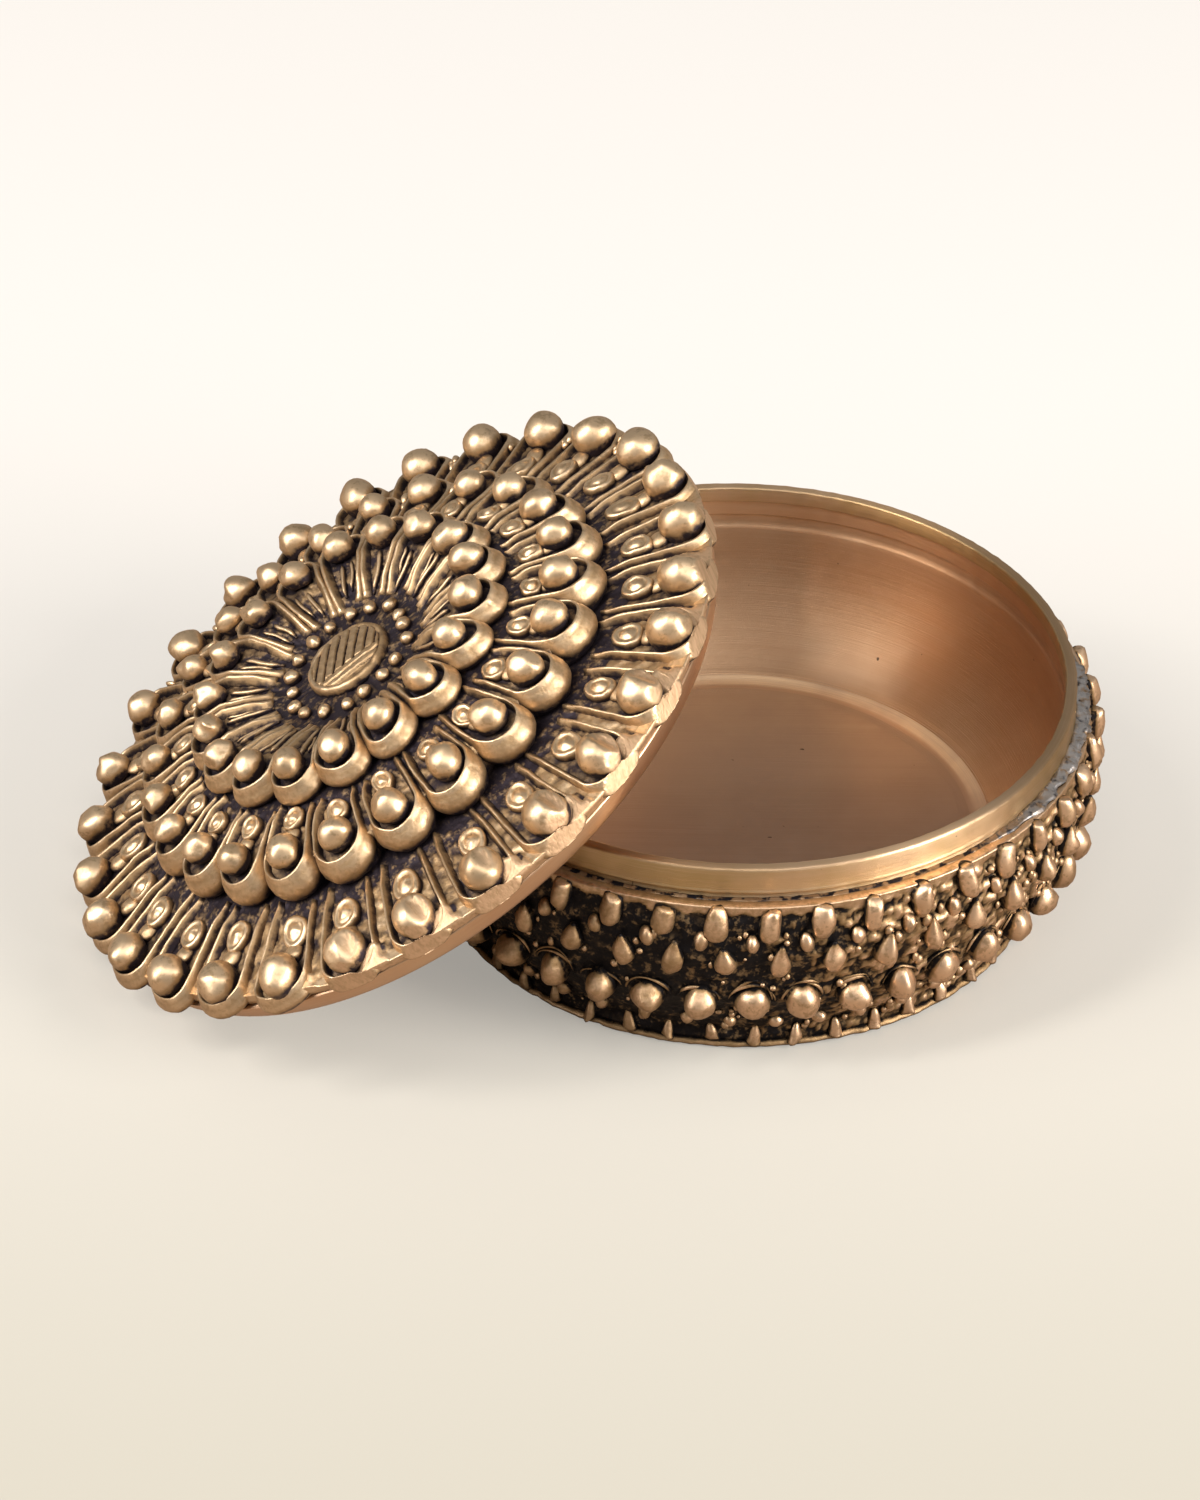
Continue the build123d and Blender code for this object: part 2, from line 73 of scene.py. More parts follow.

# %% [markdown]
# Every form below is a grid of points with its faces and two values for each point. Relief says how worn the
# point is: 0 deep in a recess, where dark tarnish stays, and 1 on a crest, where fingers keep the brass bright. On
# the shell's grains it is also lowered on the left as painted shade, and on part of the cup's back wall it is
# lowered to darken it. Filed says how far a file has cut the casting flat, or on turned parts how golden the brass
# is; on the cup floor it carries painted light at the back and on the corner. Working with grids keeps every shape
# closed and light.

# %% Forms: points, faces, relief and filed
def loft(grid, relief, filed=0.0, closed_rows=False):
    """A skin over rows of points. Each row is a closed loop. Open rows get a cap at both ends."""
    rows, columns = grid.shape[:2]
    row, column = np.meshgrid(np.arange(rows if closed_rows else rows - 1), np.arange(columns), indexing="ij")
    next_row, next_column = (row + 1) % rows, (column + 1) % columns
    corners = (row, column), (row, next_column), (next_row, next_column), (next_row, column)
    quads = np.stack([r * columns + c for r, c in corners], -1).reshape(-1, 4)
    faces = [quads]
    if not closed_rows:
        ends = np.arange(columns)
        faces.append(np.stack([ends[::-1], (rows - 1) * columns + ends]))
    values = np.empty((rows, columns, 2))
    values[..., 0], values[..., 1] = relief, filed
    return grid.reshape(-1, 3), faces, values.reshape(-1, 2)


def lumps(points, size, seed):
    """Soft bumps about the given size in mm, from -1 to 1, the same each time for the same seed."""
    source = np.random.default_rng(seed)
    waves = source.normal(size=(3, 16))
    waves *= 2 * np.pi / size * source.uniform(0.5, 1.5, 16) / np.linalg.norm(waves, axis=0)
    return np.sin(points @ waves + source.uniform(0, 2 * np.pi, 16)).sum(-1) / 5.5


def smooth_step(low, high, value):
    """0 below low, 1 above high, and a soft ramp between them."""
    part = np.clip((value - low) / (high - low), 0, 1)
    return part * part * (3 - 2 * part)


def full_turn(count):
    """Angles of a whole turn in equal steps, in radians."""
    return np.arange(count) / count * 2 * np.pi


def ripple(turn, times):
    """A wave along a turn, which starts at a place drawn by chance."""
    return np.sin(turn * times + random.uniform(0, 6))


def radius_of(points):
    """Distance of points from the Z axis."""
    return np.hypot(points[..., 0], points[..., 1])


def azimuth_of(points):
    """Azimuth of points round the Z axis, in degrees."""
    return np.degrees(np.arctan2(points[..., 1], points[..., 0]))


def tipped(points, degrees):
    """Points tipped about the Y axis, so that their top moves outward."""
    tip = math.radians(degrees)
    return points @ np.array([(math.cos(tip), 0, -math.sin(tip)), (0, 1, 0), (math.sin(tip), 0, math.cos(tip))])


def turned_about_z(points, azimuth):
    """Points turned about the Z axis by an azimuth in degrees."""
    angle = math.radians(azimuth)
    turn = np.array([(math.cos(angle), math.sin(angle), 0), (-math.sin(angle), math.cos(angle), 0), (0, 0, 1)])
    return points @ turn


def on_ring(form, radius, height, azimuth):
    """A form made with +X outward, moved to its place on a ring round the Z axis."""
    points, faces, values = form
    return turned_about_z(points + (radius, 0, height), azimuth), faces, values


# %% [markdown]
# The lid has a frame of its own: its origin is the centre of its bottom edge, and the first axis climbs the
# slope. The numbers are the same as in the CAD source, so the dressed lid lies exactly on the CAD lid.

# %% The lid's own frame
lean_direction, lean_tilt = math.radians(7.1), math.radians(33.8)
edge_radius, ceiling_depth, collar_radius, collar_top = 38.3, 4.6, 36.0, 26.1
lean_height = edge_radius * math.sin(lean_tilt)
collar_lift = math.cos(lean_tilt) * (collar_top - lean_height)
lean_reach = collar_radius - (ceiling_depth - 0.3 - collar_lift) / math.sin(lean_tilt)
uphill = np.array((math.cos(lean_direction), math.sin(lean_direction), 0))
sideways = np.array((-math.sin(lean_direction), math.cos(lean_direction), 0))
lid_origin = sideways * -1.9 - uphill * lean_reach + (0, 0, lean_height)
lid_slope = uphill * math.cos(lean_tilt) + (0, 0, math.sin(lean_tilt))
lid_axes = np.array([lid_slope, sideways, np.cross(lid_slope, sideways)])


def lid_place(points):
    """Points of the lid's own frame in the object's frame."""
    return points @ lid_axes + lid_origin


print("lid origin", lid_origin.round(2))

# %% Make a piece from forms
def add_piece(name, forms, nodes, material, slot, on_lid=False, turned=False, brushed_radius=0):
    """Join forms into one mesh object, give it its material and let it stand for the CAD nodes."""
    points, faces, values, start = [], [], [], 0
    for form_points, form_faces, form_values in forms:
        points.append(form_points)
        values.append(form_values)
        for block in form_faces:
            faces += (block + start).tolist()
        start += len(form_points)
    points, values = np.concatenate(points), np.concatenate(values)
    mesh = bpy.data.meshes.new(name)
    mesh.from_pydata((lid_place(points) if on_lid else points) * MM, [], faces)
    tidy = bmesh.new()
    tidy.from_mesh(mesh)
    bmesh.ops.recalc_face_normals(tidy, faces=tidy.faces)
    tidy.to_mesh(mesh)
    tidy.free()
    mesh.shade_smooth()
    for column, attribute in enumerate(("relief", "filed")):
        mesh.attributes.new(attribute, "FLOAT", "POINT").data.foreach_set("value", values[:, column])
    if turned:
        radius = radius_of(points)
        across = np.maximum(radius, 0.01)
        lathe = np.stack([points[:, 0] / across, points[:, 1] / across, radius + points[:, 2]], -1)
        brushed = radius < brushed_radius
        lathe[brushed] = np.stack([points[:, 0] * 0.02, points[:, 0] * 0.01, points[:, 1]], -1)[brushed]
        mesh.attributes.new("lathe", "FLOAT_VECTOR", "POINT").data.foreach_set("vector", lathe.ravel())
    mesh.materials.append(material)
    piece = bpy.data.objects.new(name, mesh)
    bpy.context.collection.objects.link(piece)
    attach(piece, "lid" if on_lid else "base")
    if nodes:
        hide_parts(*nodes)
    print(name, len(mesh.polygons), "faces")
    return piece


# %% [markdown]
# Antique brass is a bright metal under a dark skin. The maker blackens the whole casting and then polishes it,
# so the skin stays in the recesses and goes from the crests. The first node group mixes three colours by the
# relief value, and breaks the border up with noise, because real tarnish never follows a shape exactly.

# %% Helpers for shader nodes
def add_node(tree, kind, values=None, **settings):
    """A shader node with its settings, and values or links for its inputs."""
    made = tree.nodes.new(kind)
    for setting, value in settings.items():
        setattr(made, setting, value)
    for socket, value in (values or {}).items():
        if isinstance(value, bpy.types.NodeSocket):
            tree.links.new(value, made.inputs[socket])
        else:
            made.inputs[socket].default_value = value
    return made


def math_node(tree, operation, *values):
    """The result of a maths node, with clamping off."""
    return add_node(tree, "ShaderNodeMath", dict(enumerate(values)), operation=operation).outputs[0]


def ramp_node(tree, value, low, high, start=0.0, end=1.0):
    """A value taken smoothly from the range low to high into the range start to end."""
    ports = {"Value": value, "From Min": low, "From Max": high, "To Min": start, "To Max": end}
    return add_node(tree, "ShaderNodeMapRange", ports, interpolation_type="SMOOTHSTEP").outputs["Result"]


def mix_node(tree, factor, first, second):
    """A mix of two colours."""
    made = add_node(tree, "ShaderNodeMix", {"Factor": factor}, data_type="RGBA")
    for index, value in ((6, first), (7, second)):
        if isinstance(value, bpy.types.NodeSocket):
            tree.links.new(value, made.inputs[index])
        else:
            made.inputs[index].default_value = (*value, 1)
    return made.outputs[2]


def noise_node(tree, vector, scale, detail=3.0, roughness=0.55):
    """Noise from 0 to 1 at a scale in features per metre."""
    ports = {"Vector": vector, "Scale": scale, "Detail": detail, "Roughness": roughness}
    return add_node(tree, "ShaderNodeTexNoise", ports).outputs["Fac"]


def new_group(name, inputs, outputs):
    """An empty node group with named sockets, and its input and output nodes."""
    group = bpy.data.node_groups.new(name, "ShaderNodeTree")
    kinds = {"value": "NodeSocketFloat", "colour": "NodeSocketColor", "vector": "NodeSocketVector"}
    for label, kind in inputs.items():
        group.interface.new_socket(name=label, in_out="INPUT", socket_type=kinds[kind])
    for label, kind in outputs.items():
        group.interface.new_socket(name=label, in_out="OUTPUT", socket_type=kinds[kind])
    return group, group.nodes.new("NodeGroupInput").outputs, group.nodes.new("NodeGroupOutput").inputs


def new_material(name):
    """A new material, its node tree and its Principled shader."""
    material = bpy.data.materials.new(name)
    material.use_nodes = True
    return material, material.node_tree, material.node_tree.nodes["Principled BSDF"]


def attribute_node(tree, name, output="Fac"):
    """What the points of a mesh say under a name."""
    return add_node(tree, "ShaderNodeAttribute", attribute_name=name).outputs[output]


def add_bump(tree, shader, height, strength, distance):
    """Fine relief on a shader from a height, over a distance in mm."""
    ports = {"Height": height, "Strength": strength, "Distance": distance * MM}
    tree.links.new(add_node(tree, "ShaderNodeBump", ports).outputs["Normal"], shader.inputs["Normal"])


# %% Worn tarnish and painted occlusion shade: one group for every cast surface
tarnish_and_painted_shade, given, result = new_group(
    "tarnish and painted shade",
    {"Relief": "value", "Filed": "value", "Painted Occlusion": "value", "Reach": "value", "Crest": "colour",
     "Body": "colour", "Recess": "colour", "Fresh": "colour"},
    {"Colour": "colour", "Roughness": "value", "Metal": "value", "Height": "value"},
)
tree = tarnish_and_painted_shade
place = add_node(tree, "ShaderNodeTexCoord").outputs["Object"]
fine = noise_node(tree, place, 900, 4)
broad = noise_node(tree, place, 190, 3)
pits = noise_node(tree, place, 2600, 2)
dents = noise_node(tree, place, 430, 1)
off_floor = ramp_node(tree, given["Relief"], 0.0, 0.06, 0.2, 0.34)
loose = math_node(tree, "MULTIPLY_ADD", given["Relief"], 0.35, off_floor)
uneven = math_node(tree, "MULTIPLY", math_node(tree, "SUBTRACT", fine, 0.5), 1.2)
uneven = math_node(tree, "MULTIPLY_ADD", math_node(tree, "SUBTRACT", broad, 0.5), 0.9, uneven)
uneven = math_node(tree, "MULTIPLY_ADD", uneven, loose, given["Relief"])
# Painted shade: where the ambient occlusion finds a gap or a hollow, the level drops and the colour goes towards
# the recess colour.
open_part = math_node(tree, "MULTIPLY", uneven, given["Painted Occlusion"])
level = math_node(tree, "SUBTRACT", open_part, given["Reach"])
out_of_recess = ramp_node(tree, level, -0.02, 0.30)
onto_crest = ramp_node(tree, level, 0.28, 0.70)
tone = mix_node(tree, out_of_recess, given["Recess"], given["Body"])
tone = mix_node(tree, onto_crest, tone, given["Crest"])
stains = ramp_node(tree, broad, 0.46, 0.72, 0.0, 0.45)
tone = mix_node(tree, math_node(tree, "MULTIPLY", stains, out_of_recess), tone, given["Body"])
grit = ramp_node(tree, math_node(tree, "MULTIPLY_ADD", pits, 0.5, fine), 0.74, 0.94, 0.0, 0.6)
gritty = math_node(tree, "MULTIPLY", given["Painted Occlusion"], ramp_node(tree, given["Relief"], 0.0, 0.05))
tone = mix_node(tree, math_node(tree, "MULTIPLY", grit, gritty), tone, given["Body"])

# %% File strokes: noise drawn out along one slanting direction
stroke_axes = (0.70, 0.71, 0.0), (0.49, -0.48, 0.73), (0.51, -0.50, -0.69)
stroke_scales = 2400, 2400, 140
spread = [
    math_node(tree, "MULTIPLY", add_node(
        tree, "ShaderNodeVectorMath", {0: place, 1: axis}, operation="DOT_PRODUCT").outputs["Value"], scale)
    for axis, scale in zip(stroke_axes, stroke_scales)
]
stroke_place = add_node(tree, "ShaderNodeCombineXYZ", dict(enumerate(spread))).outputs[0]
strokes = noise_node(tree, stroke_place, 1.0, 3)
filed_tone = mix_node(tree, ramp_node(tree, strokes, 0.3, 0.62, 0.55, 0.0), given["Fresh"], given["Body"])
tone = mix_node(tree, given["Filed"], tone, filed_tone)
tree.links.new(tone, result["Colour"])
shine = math_node(tree, "MULTIPLY_ADD", onto_crest, -0.17, 0.52)
shine = math_node(tree, "MULTIPLY_ADD", fine, 0.10, shine)
shine = math_node(tree, "MULTIPLY_ADD", given["Filed"], 0.14, shine)
tree.links.new(shine, result["Roughness"])
tree.links.new(ramp_node(tree, level, -0.1, 0.12, 0.75, 1.0), result["Metal"])
rough_skin = math_node(tree, "MULTIPLY_ADD", pits, 0.5, math_node(tree, "MULTIPLY", fine, 1.8))
smooth_skin = math_node(tree, "MULTIPLY_ADD", dents, 2.2, math_node(tree, "MULTIPLY", fine, 0.35))
grain = add_node(tree, "ShaderNodeMix", {"Factor": onto_crest, "A": rough_skin, "B": smooth_skin}).outputs[0]
filed_grain = math_node(tree, "MULTIPLY", math_node(tree, "SUBTRACT", strokes, grain), given["Filed"])
tree.links.new(math_node(tree, "ADD", grain, filed_grain), result["Height"])

# %% [markdown]
# A cast material reads the two values of each point, and asks the ambient occlusion node how sheltered the spot
# is: that is painted shade, which darkens the colour in the gaps where two pieces meet and in deep hollows. The
# Principled shader stands in the material itself. The colours are given: golden for the lid, coppery for the base,
# near-black with a violet cast in recesses.

# %% Cast brass materials
def cast_brass(name, reach, crest, body, recess, fresh):
    """A cast brass with its own colours, its own reach of the tarnish up the relief, and shade painted in from
    ambient occlusion.
    """
    material, tree, shader = new_material(name)
    relief, filed = attribute_node(tree, "relief"), attribute_node(tree, "filed")
    # The ambient occlusion paints shade into the colour, darker in gaps between pieces and in hollows.
    painted_occlusion_node = add_node(tree, "ShaderNodeAmbientOcclusion", {"Distance": 2.2 * MM}, samples=8)
    worn = add_node(tree, "ShaderNodeGroup", node_tree=tarnish_and_painted_shade)
    painted_occlusion = ramp_node(tree, painted_occlusion_node.outputs["AO"], 0.15, 0.75, 0.2, 1)
    for socket, value in (("Relief", relief), ("Filed", filed), ("Painted Occlusion", painted_occlusion)):
        tree.links.new(value, worn.inputs[socket])
    worn.inputs["Reach"].default_value = reach
    for socket, colour in zip(("Crest", "Body", "Recess", "Fresh"), (crest, body, recess, fresh)):
        worn.inputs[socket].default_value = (*colour, 1)
    for source, socket in (("Colour", "Base Color"), ("Roughness", "Roughness"), ("Metal", "Metallic")):
        tree.links.new(worn.outputs[source], shader.inputs[socket])
    add_bump(tree, shader, worn.outputs["Height"], 0.5, 0.12)
    return material


lid_brass = cast_brass(
    "lid brass", 0.08, (0.84, 0.62, 0.40), (0.46, 0.31, 0.17), (0.036, 0.027, 0.036), (0.72, 0.49, 0.31)
)
base_brass = cast_brass(
    "base brass", 0.20, (0.86, 0.60, 0.40), (0.36, 0.235, 0.12), (0.010, 0.008, 0.009), (0.85, 0.55, 0.36)
)
lid_cast = {"material": lid_brass, "slot": "cast_brass", "on_lid": True}
base_cast = {"material": base_brass, "slot": "dark_cast_brass"}

# %% [markdown]
# The cup is turned on a lathe, so its scratches run round the axis. The group makes streaks by stretching noise
# along the turn: it reads a direction on the unit circle, which has no seam, and the distance along the outline.

# %% Turning marks: one group for every turned surface
turning_marks, given, result = new_group(
    "turning marks",
    {"Lathe": "vector", "Pitch": "value", "Tone": "value", "Golden Tone And Painted Light": "value", "Warm": "colour", "Pale": "colour",
     "Gold": "colour", "Dark": "colour", "Dull": "value"},
    {"Colour": "colour", "Roughness": "value", "Height": "value"},
)
tree = turning_marks
split = add_node(tree, "ShaderNodeSeparateXYZ", {0: given["Lathe"]}).outputs
along = math_node(tree, "MULTIPLY", split["Z"], given["Pitch"])
streak_place = add_node(tree, "ShaderNodeCombineXYZ", {0: split["X"], 1: split["Y"], 2: along}).outputs[0]
streaks = noise_node(tree, streak_place, 3.0, 5, 0.7)
bands = noise_node(tree, streak_place, 0.35, 3, 0.6)
spots_place = add_node(tree, "ShaderNodeTexCoord").outputs["Object"]
clouds = noise_node(tree, spots_place, 70, 4)
specks = ramp_node(tree, noise_node(tree, spots_place, 1100, 1), 0.79, 0.83)
# The gold colour comes in by the golden tone, which on the cup's collar is the brass's own and on the cup floor is
# painted light.
warm = mix_node(tree, given["Golden Tone And Painted Light"], given["Warm"], given["Gold"])
tone = mix_node(tree, ramp_node(tree, clouds, 0.38, 0.72, 0.0, 0.7), warm, given["Pale"])
tone = mix_node(tree, ramp_node(tree, streaks, 0.35, 0.75, 0.0, 0.4), tone, given["Pale"])
below = ramp_node(tree, given["Tone"], 0.5, 0.0)
tone = mix_node(tree, below, tone, given["Dark"])
tone = mix_node(tree, math_node(tree, "MULTIPLY", specks, 0.8), tone, given["Dark"])
tree.links.new(tone, result["Colour"])
dull = math_node(tree, "MULTIPLY_ADD", bands, 0.16, given["Dull"])
dull = math_node(tree, "MULTIPLY_ADD", below, 0.3, dull)
tree.links.new(dull, result["Roughness"])
tree.links.new(streaks, result["Height"])


# %% Turned brass materials
def turned_brass(name, warm, pale, gold, dark, pitch, bump, dull, drawn_out=0.0):
    """A turned brass. Its streaks get finer as the pitch grows. Drawn out lights stand square to the scratches."""
    material, tree, shader = new_material(name)
    marks = add_node(tree, "ShaderNodeGroup", node_tree=turning_marks)
    tree.links.new(attribute_node(tree, "relief"), marks.inputs["Tone"])
    tree.links.new(attribute_node(tree, "filed"), marks.inputs["Golden Tone And Painted Light"])
    tree.links.new(attribute_node(tree, "lathe", "Vector"), marks.inputs["Lathe"])
    marks.inputs["Pitch"].default_value = pitch
    marks.inputs["Dull"].default_value = dull
    for socket, colour in (("Warm", warm), ("Pale", pale), ("Gold", gold), ("Dark", dark)):
        marks.inputs[socket].default_value = (*colour, 1)
    tree.links.new(marks.outputs["Colour"], shader.inputs["Base Color"])
    tree.links.new(marks.outputs["Roughness"], shader.inputs["Roughness"])
    shader.inputs["Metallic"].default_value = 1
    shader.inputs["Anisotropic"].default_value = drawn_out
    shader.inputs["Anisotropic Rotation"].default_value = 0.25
    add_bump(tree, shader, marks.outputs["Height"], bump, 0.05)
    return material


cup_brass = turned_brass(
    "cup brass", (0.66, 0.42, 0.25), (0.78, 0.55, 0.36), (0.53, 0.375, 0.18), (0.045, 0.03, 0.03),
    pitch=2.2, bump=0.8, dull=0.32, drawn_out=0.8,
)
# The floor's gold colour serves the painted light on its corner and towards its back.
floor_brass = turned_brass(
    "cup floor brass", (0.48, 0.32, 0.225), (0.58, 0.41, 0.30), (0.92, 0.72, 0.49), (0.045, 0.03, 0.03),
    pitch=2.2, bump=0.8, dull=0.45,
)
band_brass = turned_brass(
    "band brass", (0.72, 0.45, 0.28), (0.84, 0.60, 0.40), (0.72, 0.52, 0.30), (0.06, 0.04, 0.04),
    pitch=1.2, bump=0.35, dull=0.28,
)
base_turned = {"slot": "turned_brass", "turned": True}
lid_turned = {"material": band_brass, "on_lid": True, **base_turned}

# %% [markdown]
# The cup and its collar are one turned piece. A lathe shape is an outline spun round the axis: each corner of the
# outline is given as two close points, so that it stays crisp and still catches a thin line of light. A little
# noise on the mouth's lines makes them as ragged as a hand-held tool leaves them.

# %% Lathe helper
def spin(outline, columns=240, ragged=0.0, seed=1):
    """A closed solid from (radius, height, relief) rows, spun round Z, with an optional fourth for golden tone,
    which on the cup floor is painted light.
    """
    rows = np.array([(*row, 0)[:4] for row in outline], float)
    angle = full_turn(columns)
    radius = np.repeat(rows[:, :1], columns, 1)
    grid = np.stack([radius * np.cos(angle), radius * np.sin(angle), np.repeat(rows[:, 1:2], columns, 1)], -1)
    if ragged:
        shift = lumps(grid, 1.6, seed) * ragged
        grid[..., :2] *= (1 + shift / np.maximum(radius, 1))[..., None]
    return loft(grid, rows[:, 2:3], rows[:, 3:4], closed_rows=True)


def arc(start, middle, end, count):
    """Points on the circle through three (radius, height) points, from start to end."""
    (ax, ay), (bx, by), (cx, cy) = start, middle, end
    double = 2 * (ax * (by - cy) + bx * (cy - ay) + cx * (ay - by))
    squares = ax * ax + ay * ay, bx * bx + by * by, cx * cx + cy * cy
    x = (squares[0] * (by - cy) + squares[1] * (cy - ay) + squares[2] * (ay - by)) / double
    y = (squares[0] * (cx - bx) + squares[1] * (ax - cx) + squares[2] * (bx - ax)) / double
    first, last = math.atan2(ay - y, ax - x), math.atan2(cy - y, cx - x)
    last += 2 * math.pi * round((first - last) / (2 * math.pi))
    turn = np.linspace(first, last, count)
    reach = math.hypot(ax - x, ay - y)
    return [(x + reach * math.cos(t), y + reach * math.sin(t)) for t in turn]


# %% Cup and collar
floor_height, floor_radius, groove_bottom = 5.2, 27.2, 18.5
wall_curve = arc((34.95, 20.6), (33.0, 11.2), (floor_radius, floor_height), 30)[:-2]
back_curve = arc((28.2, 3.7), (34.0, 11.2), (36.0, groove_bottom), 14)
collar_outline = [
    (36.0, 22.4, 0.2, 1), (35.86, 22.55, 0.3, 1), (35.84, 22.85, 0.4, 1), (35.88, 22.98, 0.5, 1),
    (36.02, 23.1, 1, 1), (36.05, 23.22, 1, 1), (35.98, 23.34, 0.8, 1), (35.96, 23.5, 0.8, 1),
    (35.99, 24.6, 0.8, 1), (36.0, 25.75, 0.8, 1), (35.97, 25.95, 1, 0.6), (35.84, 26.08, 1, 0.4),
    (35.7, 26.1, 0.42, 0.3), (35.0, 26.1, 0.38, 0.4), (34.86, 26.06, 1, 1), (34.8, 25.92, 0.9, 1),
    (34.79, 25.0, 0.8, 1), (34.8, 24.42, 0.7, 1), (34.82, 24.36, 0.15, 1), (34.93, 24.3, 1, 0.5),
    (34.97, 24.2, 0.9, 0), (34.98, 23.6, 0.75, 0), (34.98, 22.6, 0.7, 0), (35.0, 22.5, 0.2, 0),
    (35.1, 22.45, 0.9, 0), (35.14, 22.3, 0.42, 0), (35.12, 21.6, 0.36, 0), (35.13, 21.1, 0.4, 0),
    (35.02, 20.95, 0.9, 0),
]
cup_outline = [(radius, height, 0.7) for radius, height in back_curve[:-1]]
cup_outline += [(36.0, groove_bottom, 0.5), (36.0, 22.2, 0.1)] + collar_outline
cup_outline += [(radius, height, 0.75) for radius, height in wall_curve]
cup_outline += [(27.75, 5.72, 0.8, 0), (27.5, 5.3, 0.3, 0), (26.2, 5.1, 0.3, 0)]
cup_outline += [(radius, 4.9, 0.36) for radius in (25.6, 20, 10, 0.02)]
cup_outline += [(0.02, 3.7, 0.6), (21.0, 3.7, 0.6), (21.0, 1.2, 0.6), (24.0, 1.2, 0.6), (24.0, 3.7, 0.6)]
points, faces, values = spin(cup_outline, 288)
ragged = smooth_step(20.8, 21.2, points[:, 2]) * lumps(points, 1.4, 1) * 0.05
points[:, :2] *= (1 + ragged / np.maximum(radius_of(points), 1))[:, None]
# The inner wall is made darker from the back round to the left side, between the floor and the groove.
darker_back_wall = smooth_step(58, 82, azimuth_of(points) + 10 * lumps(points, 12, 2))
darker_back_wall = darker_back_wall * (points[:, 2] > 4.95) * smooth_step(21.0, 20.6, points[:, 2]) * (values[:, 0] > 0.7)
values[:, 0] -= 0.4 * darker_back_wall
add_piece("turned_cup", [(points, faces, values)], ["inner_cup"], cup_brass, **base_turned)
# Painted reflection: the rounded corner between floor and wall is painted pale gold, where it would mirror the
# bright light above.
floor_outline = [(26.6, 4.95, 0.3), (28.1, 5.7, 0.4, 1), (27.9, 5.78, 0.8, 0.6), (27.5, 5.55, 1, 1),
                 (27.0, 5.36, 1, 1), (26.5, 5.25, 1, 1), (26.2, 5.21, 0.8, 0.4), (25.9, 5.2, 0.5, 0)]
floor_outline += [(radius, floor_height, 0.37) for radius in np.linspace(25.6, 1.0, 24)]
floor_outline += [(radius, floor_height, 0.37) for radius in (0.5, 0.2, 0.08, 0.02)] + [(0.02, 4.95, 0.4)]
points, faces, values = spin(floor_outline, 288)
# Painted light: the floor's colour goes paler and more golden towards the back, where the floor is lit more, and
# stays darker in front.
inside = smooth_step(26.5, 25.5, radius_of(points))
values[:, 1] += inside * 0.55 * smooth_step(-2, 24, points[:, 1] + 2 * lumps(points, 9, 3))
add_piece("turned_cup_floor", [(points, faces, values)], [], floor_brass, brushed_radius=25.0,
          **base_turned)

# %% [markdown]
# The shell is cast, so its skin is lumpy and its inside is rough. The outline gets many rows, and soft bumps push
# each point in or out. The bumps fade at the plain lip, which is filed smooth, and at the foot.

# %% Shell
lip_radius, neck_radius = 37.65, 36.05
shell_line = [(32.2, 0.8), (32.2, 2.6), (36.5, 9.4), (38.2, 16.8), (lip_radius, 21.1), (lip_radius, 22.4)]


def shell_spot(height):
    """Radius of the shell at a height, and how far its surface leans out there, in degrees."""
    for (r0, z0), (r1, z1) in zip(shell_line, shell_line[1:]):
        if z0 <= height <= z1 and z1 > z0:
            return r0 + (r1 - r0) * (height - z0) / (z1 - z0), math.degrees(math.atan2(r1 - r0, z1 - z0))
    return lip_radius, 0.0


shell_heights = np.concatenate([np.linspace(0.8, 20.9, 64), [21.1, 21.3, 21.5, 21.7, 22.0, 22.25, 22.36]])
shell_outline = [(shell_spot(height)[0], height, 0.01) for height in shell_heights]
shell_outline += [(37.5, 22.42, 0.9), (37.1, 22.44, 0.62), (36.5, 22.42, 0.5), (36.15, 22.3, 0.3)]
shell_outline += [(neck_radius, 22.1, 0.1), (neck_radius, 21.1, 0.2)]
shell_outline += [(36.7, 16.8, 0.2), (35.0, 9.4, 0.2), (30.7, 2.6, 0.2), (30.7, 0.8, 0.2)]
points, faces, values = spin(shell_outline, 640)
height = points[:, 2]
azimuth = azimuth_of(points)
clumsy = smooth_step(-102, -50, azimuth) * smooth_step(150, 90, azimuth)
border = height + 0.3 * lumps(points, 2.0, 6)
cast_skin = smooth_step(21.8, 21.3, border) * smooth_step(0.8, 1.6, height)
push = lumps(points, 1.1, 4) * (0.12 + 0.14 * clumsy) + lumps(points, 3.2, 5) * 0.14 + lumps(points, 0.6, 7) * 0.07
outer = radius_of(points) > 36.04 - smooth_step(16, 2, height) * 3.9
push = push * cast_skin * outer
points[:, :2] *= (1 + push / radius_of(points))[:, None]
values[:, 0] += np.where(outer, np.maximum(push, 0) * (0.7 + 2.8 * clumsy) + 0.3 * clumsy, 0)
lip = smooth_step(21.3, 21.7, border) * outer * (height < 22.43)
values[:, 0] = np.clip(values[:, 0] + (0.72 - values[:, 0]) * lip * (values[:, 0] < 0.5), 0, 1)
add_piece("cast_shell", [(points, faces, values)], ["outer_shell"], **base_cast)

# %% [markdown]
# The ornament on the shell is six rows of drops, beads and grains. In the wax model of a casting such as this,
# each one is rolled by hand and pressed on. One function turns a small outline into a swollen grain, flattens it
# towards the shell, and takes a slightly different size, lean and dent for every copy.

# %% A hand-rolled grain on the shell
def hammered(points, size, cuts, depth=0.1):
    """Points with a few flats, as a tool leaves them: whatever stands out past a flat is pressed in."""
    for _ in range(cuts):
        face = random.normal(size=3)
        face /= np.linalg.norm(face)
        over = points @ face - size * (1 - depth * random.uniform(0.3, 1))
        points = points - np.maximum(over, 0)[..., None] * face * 0.85
    return points


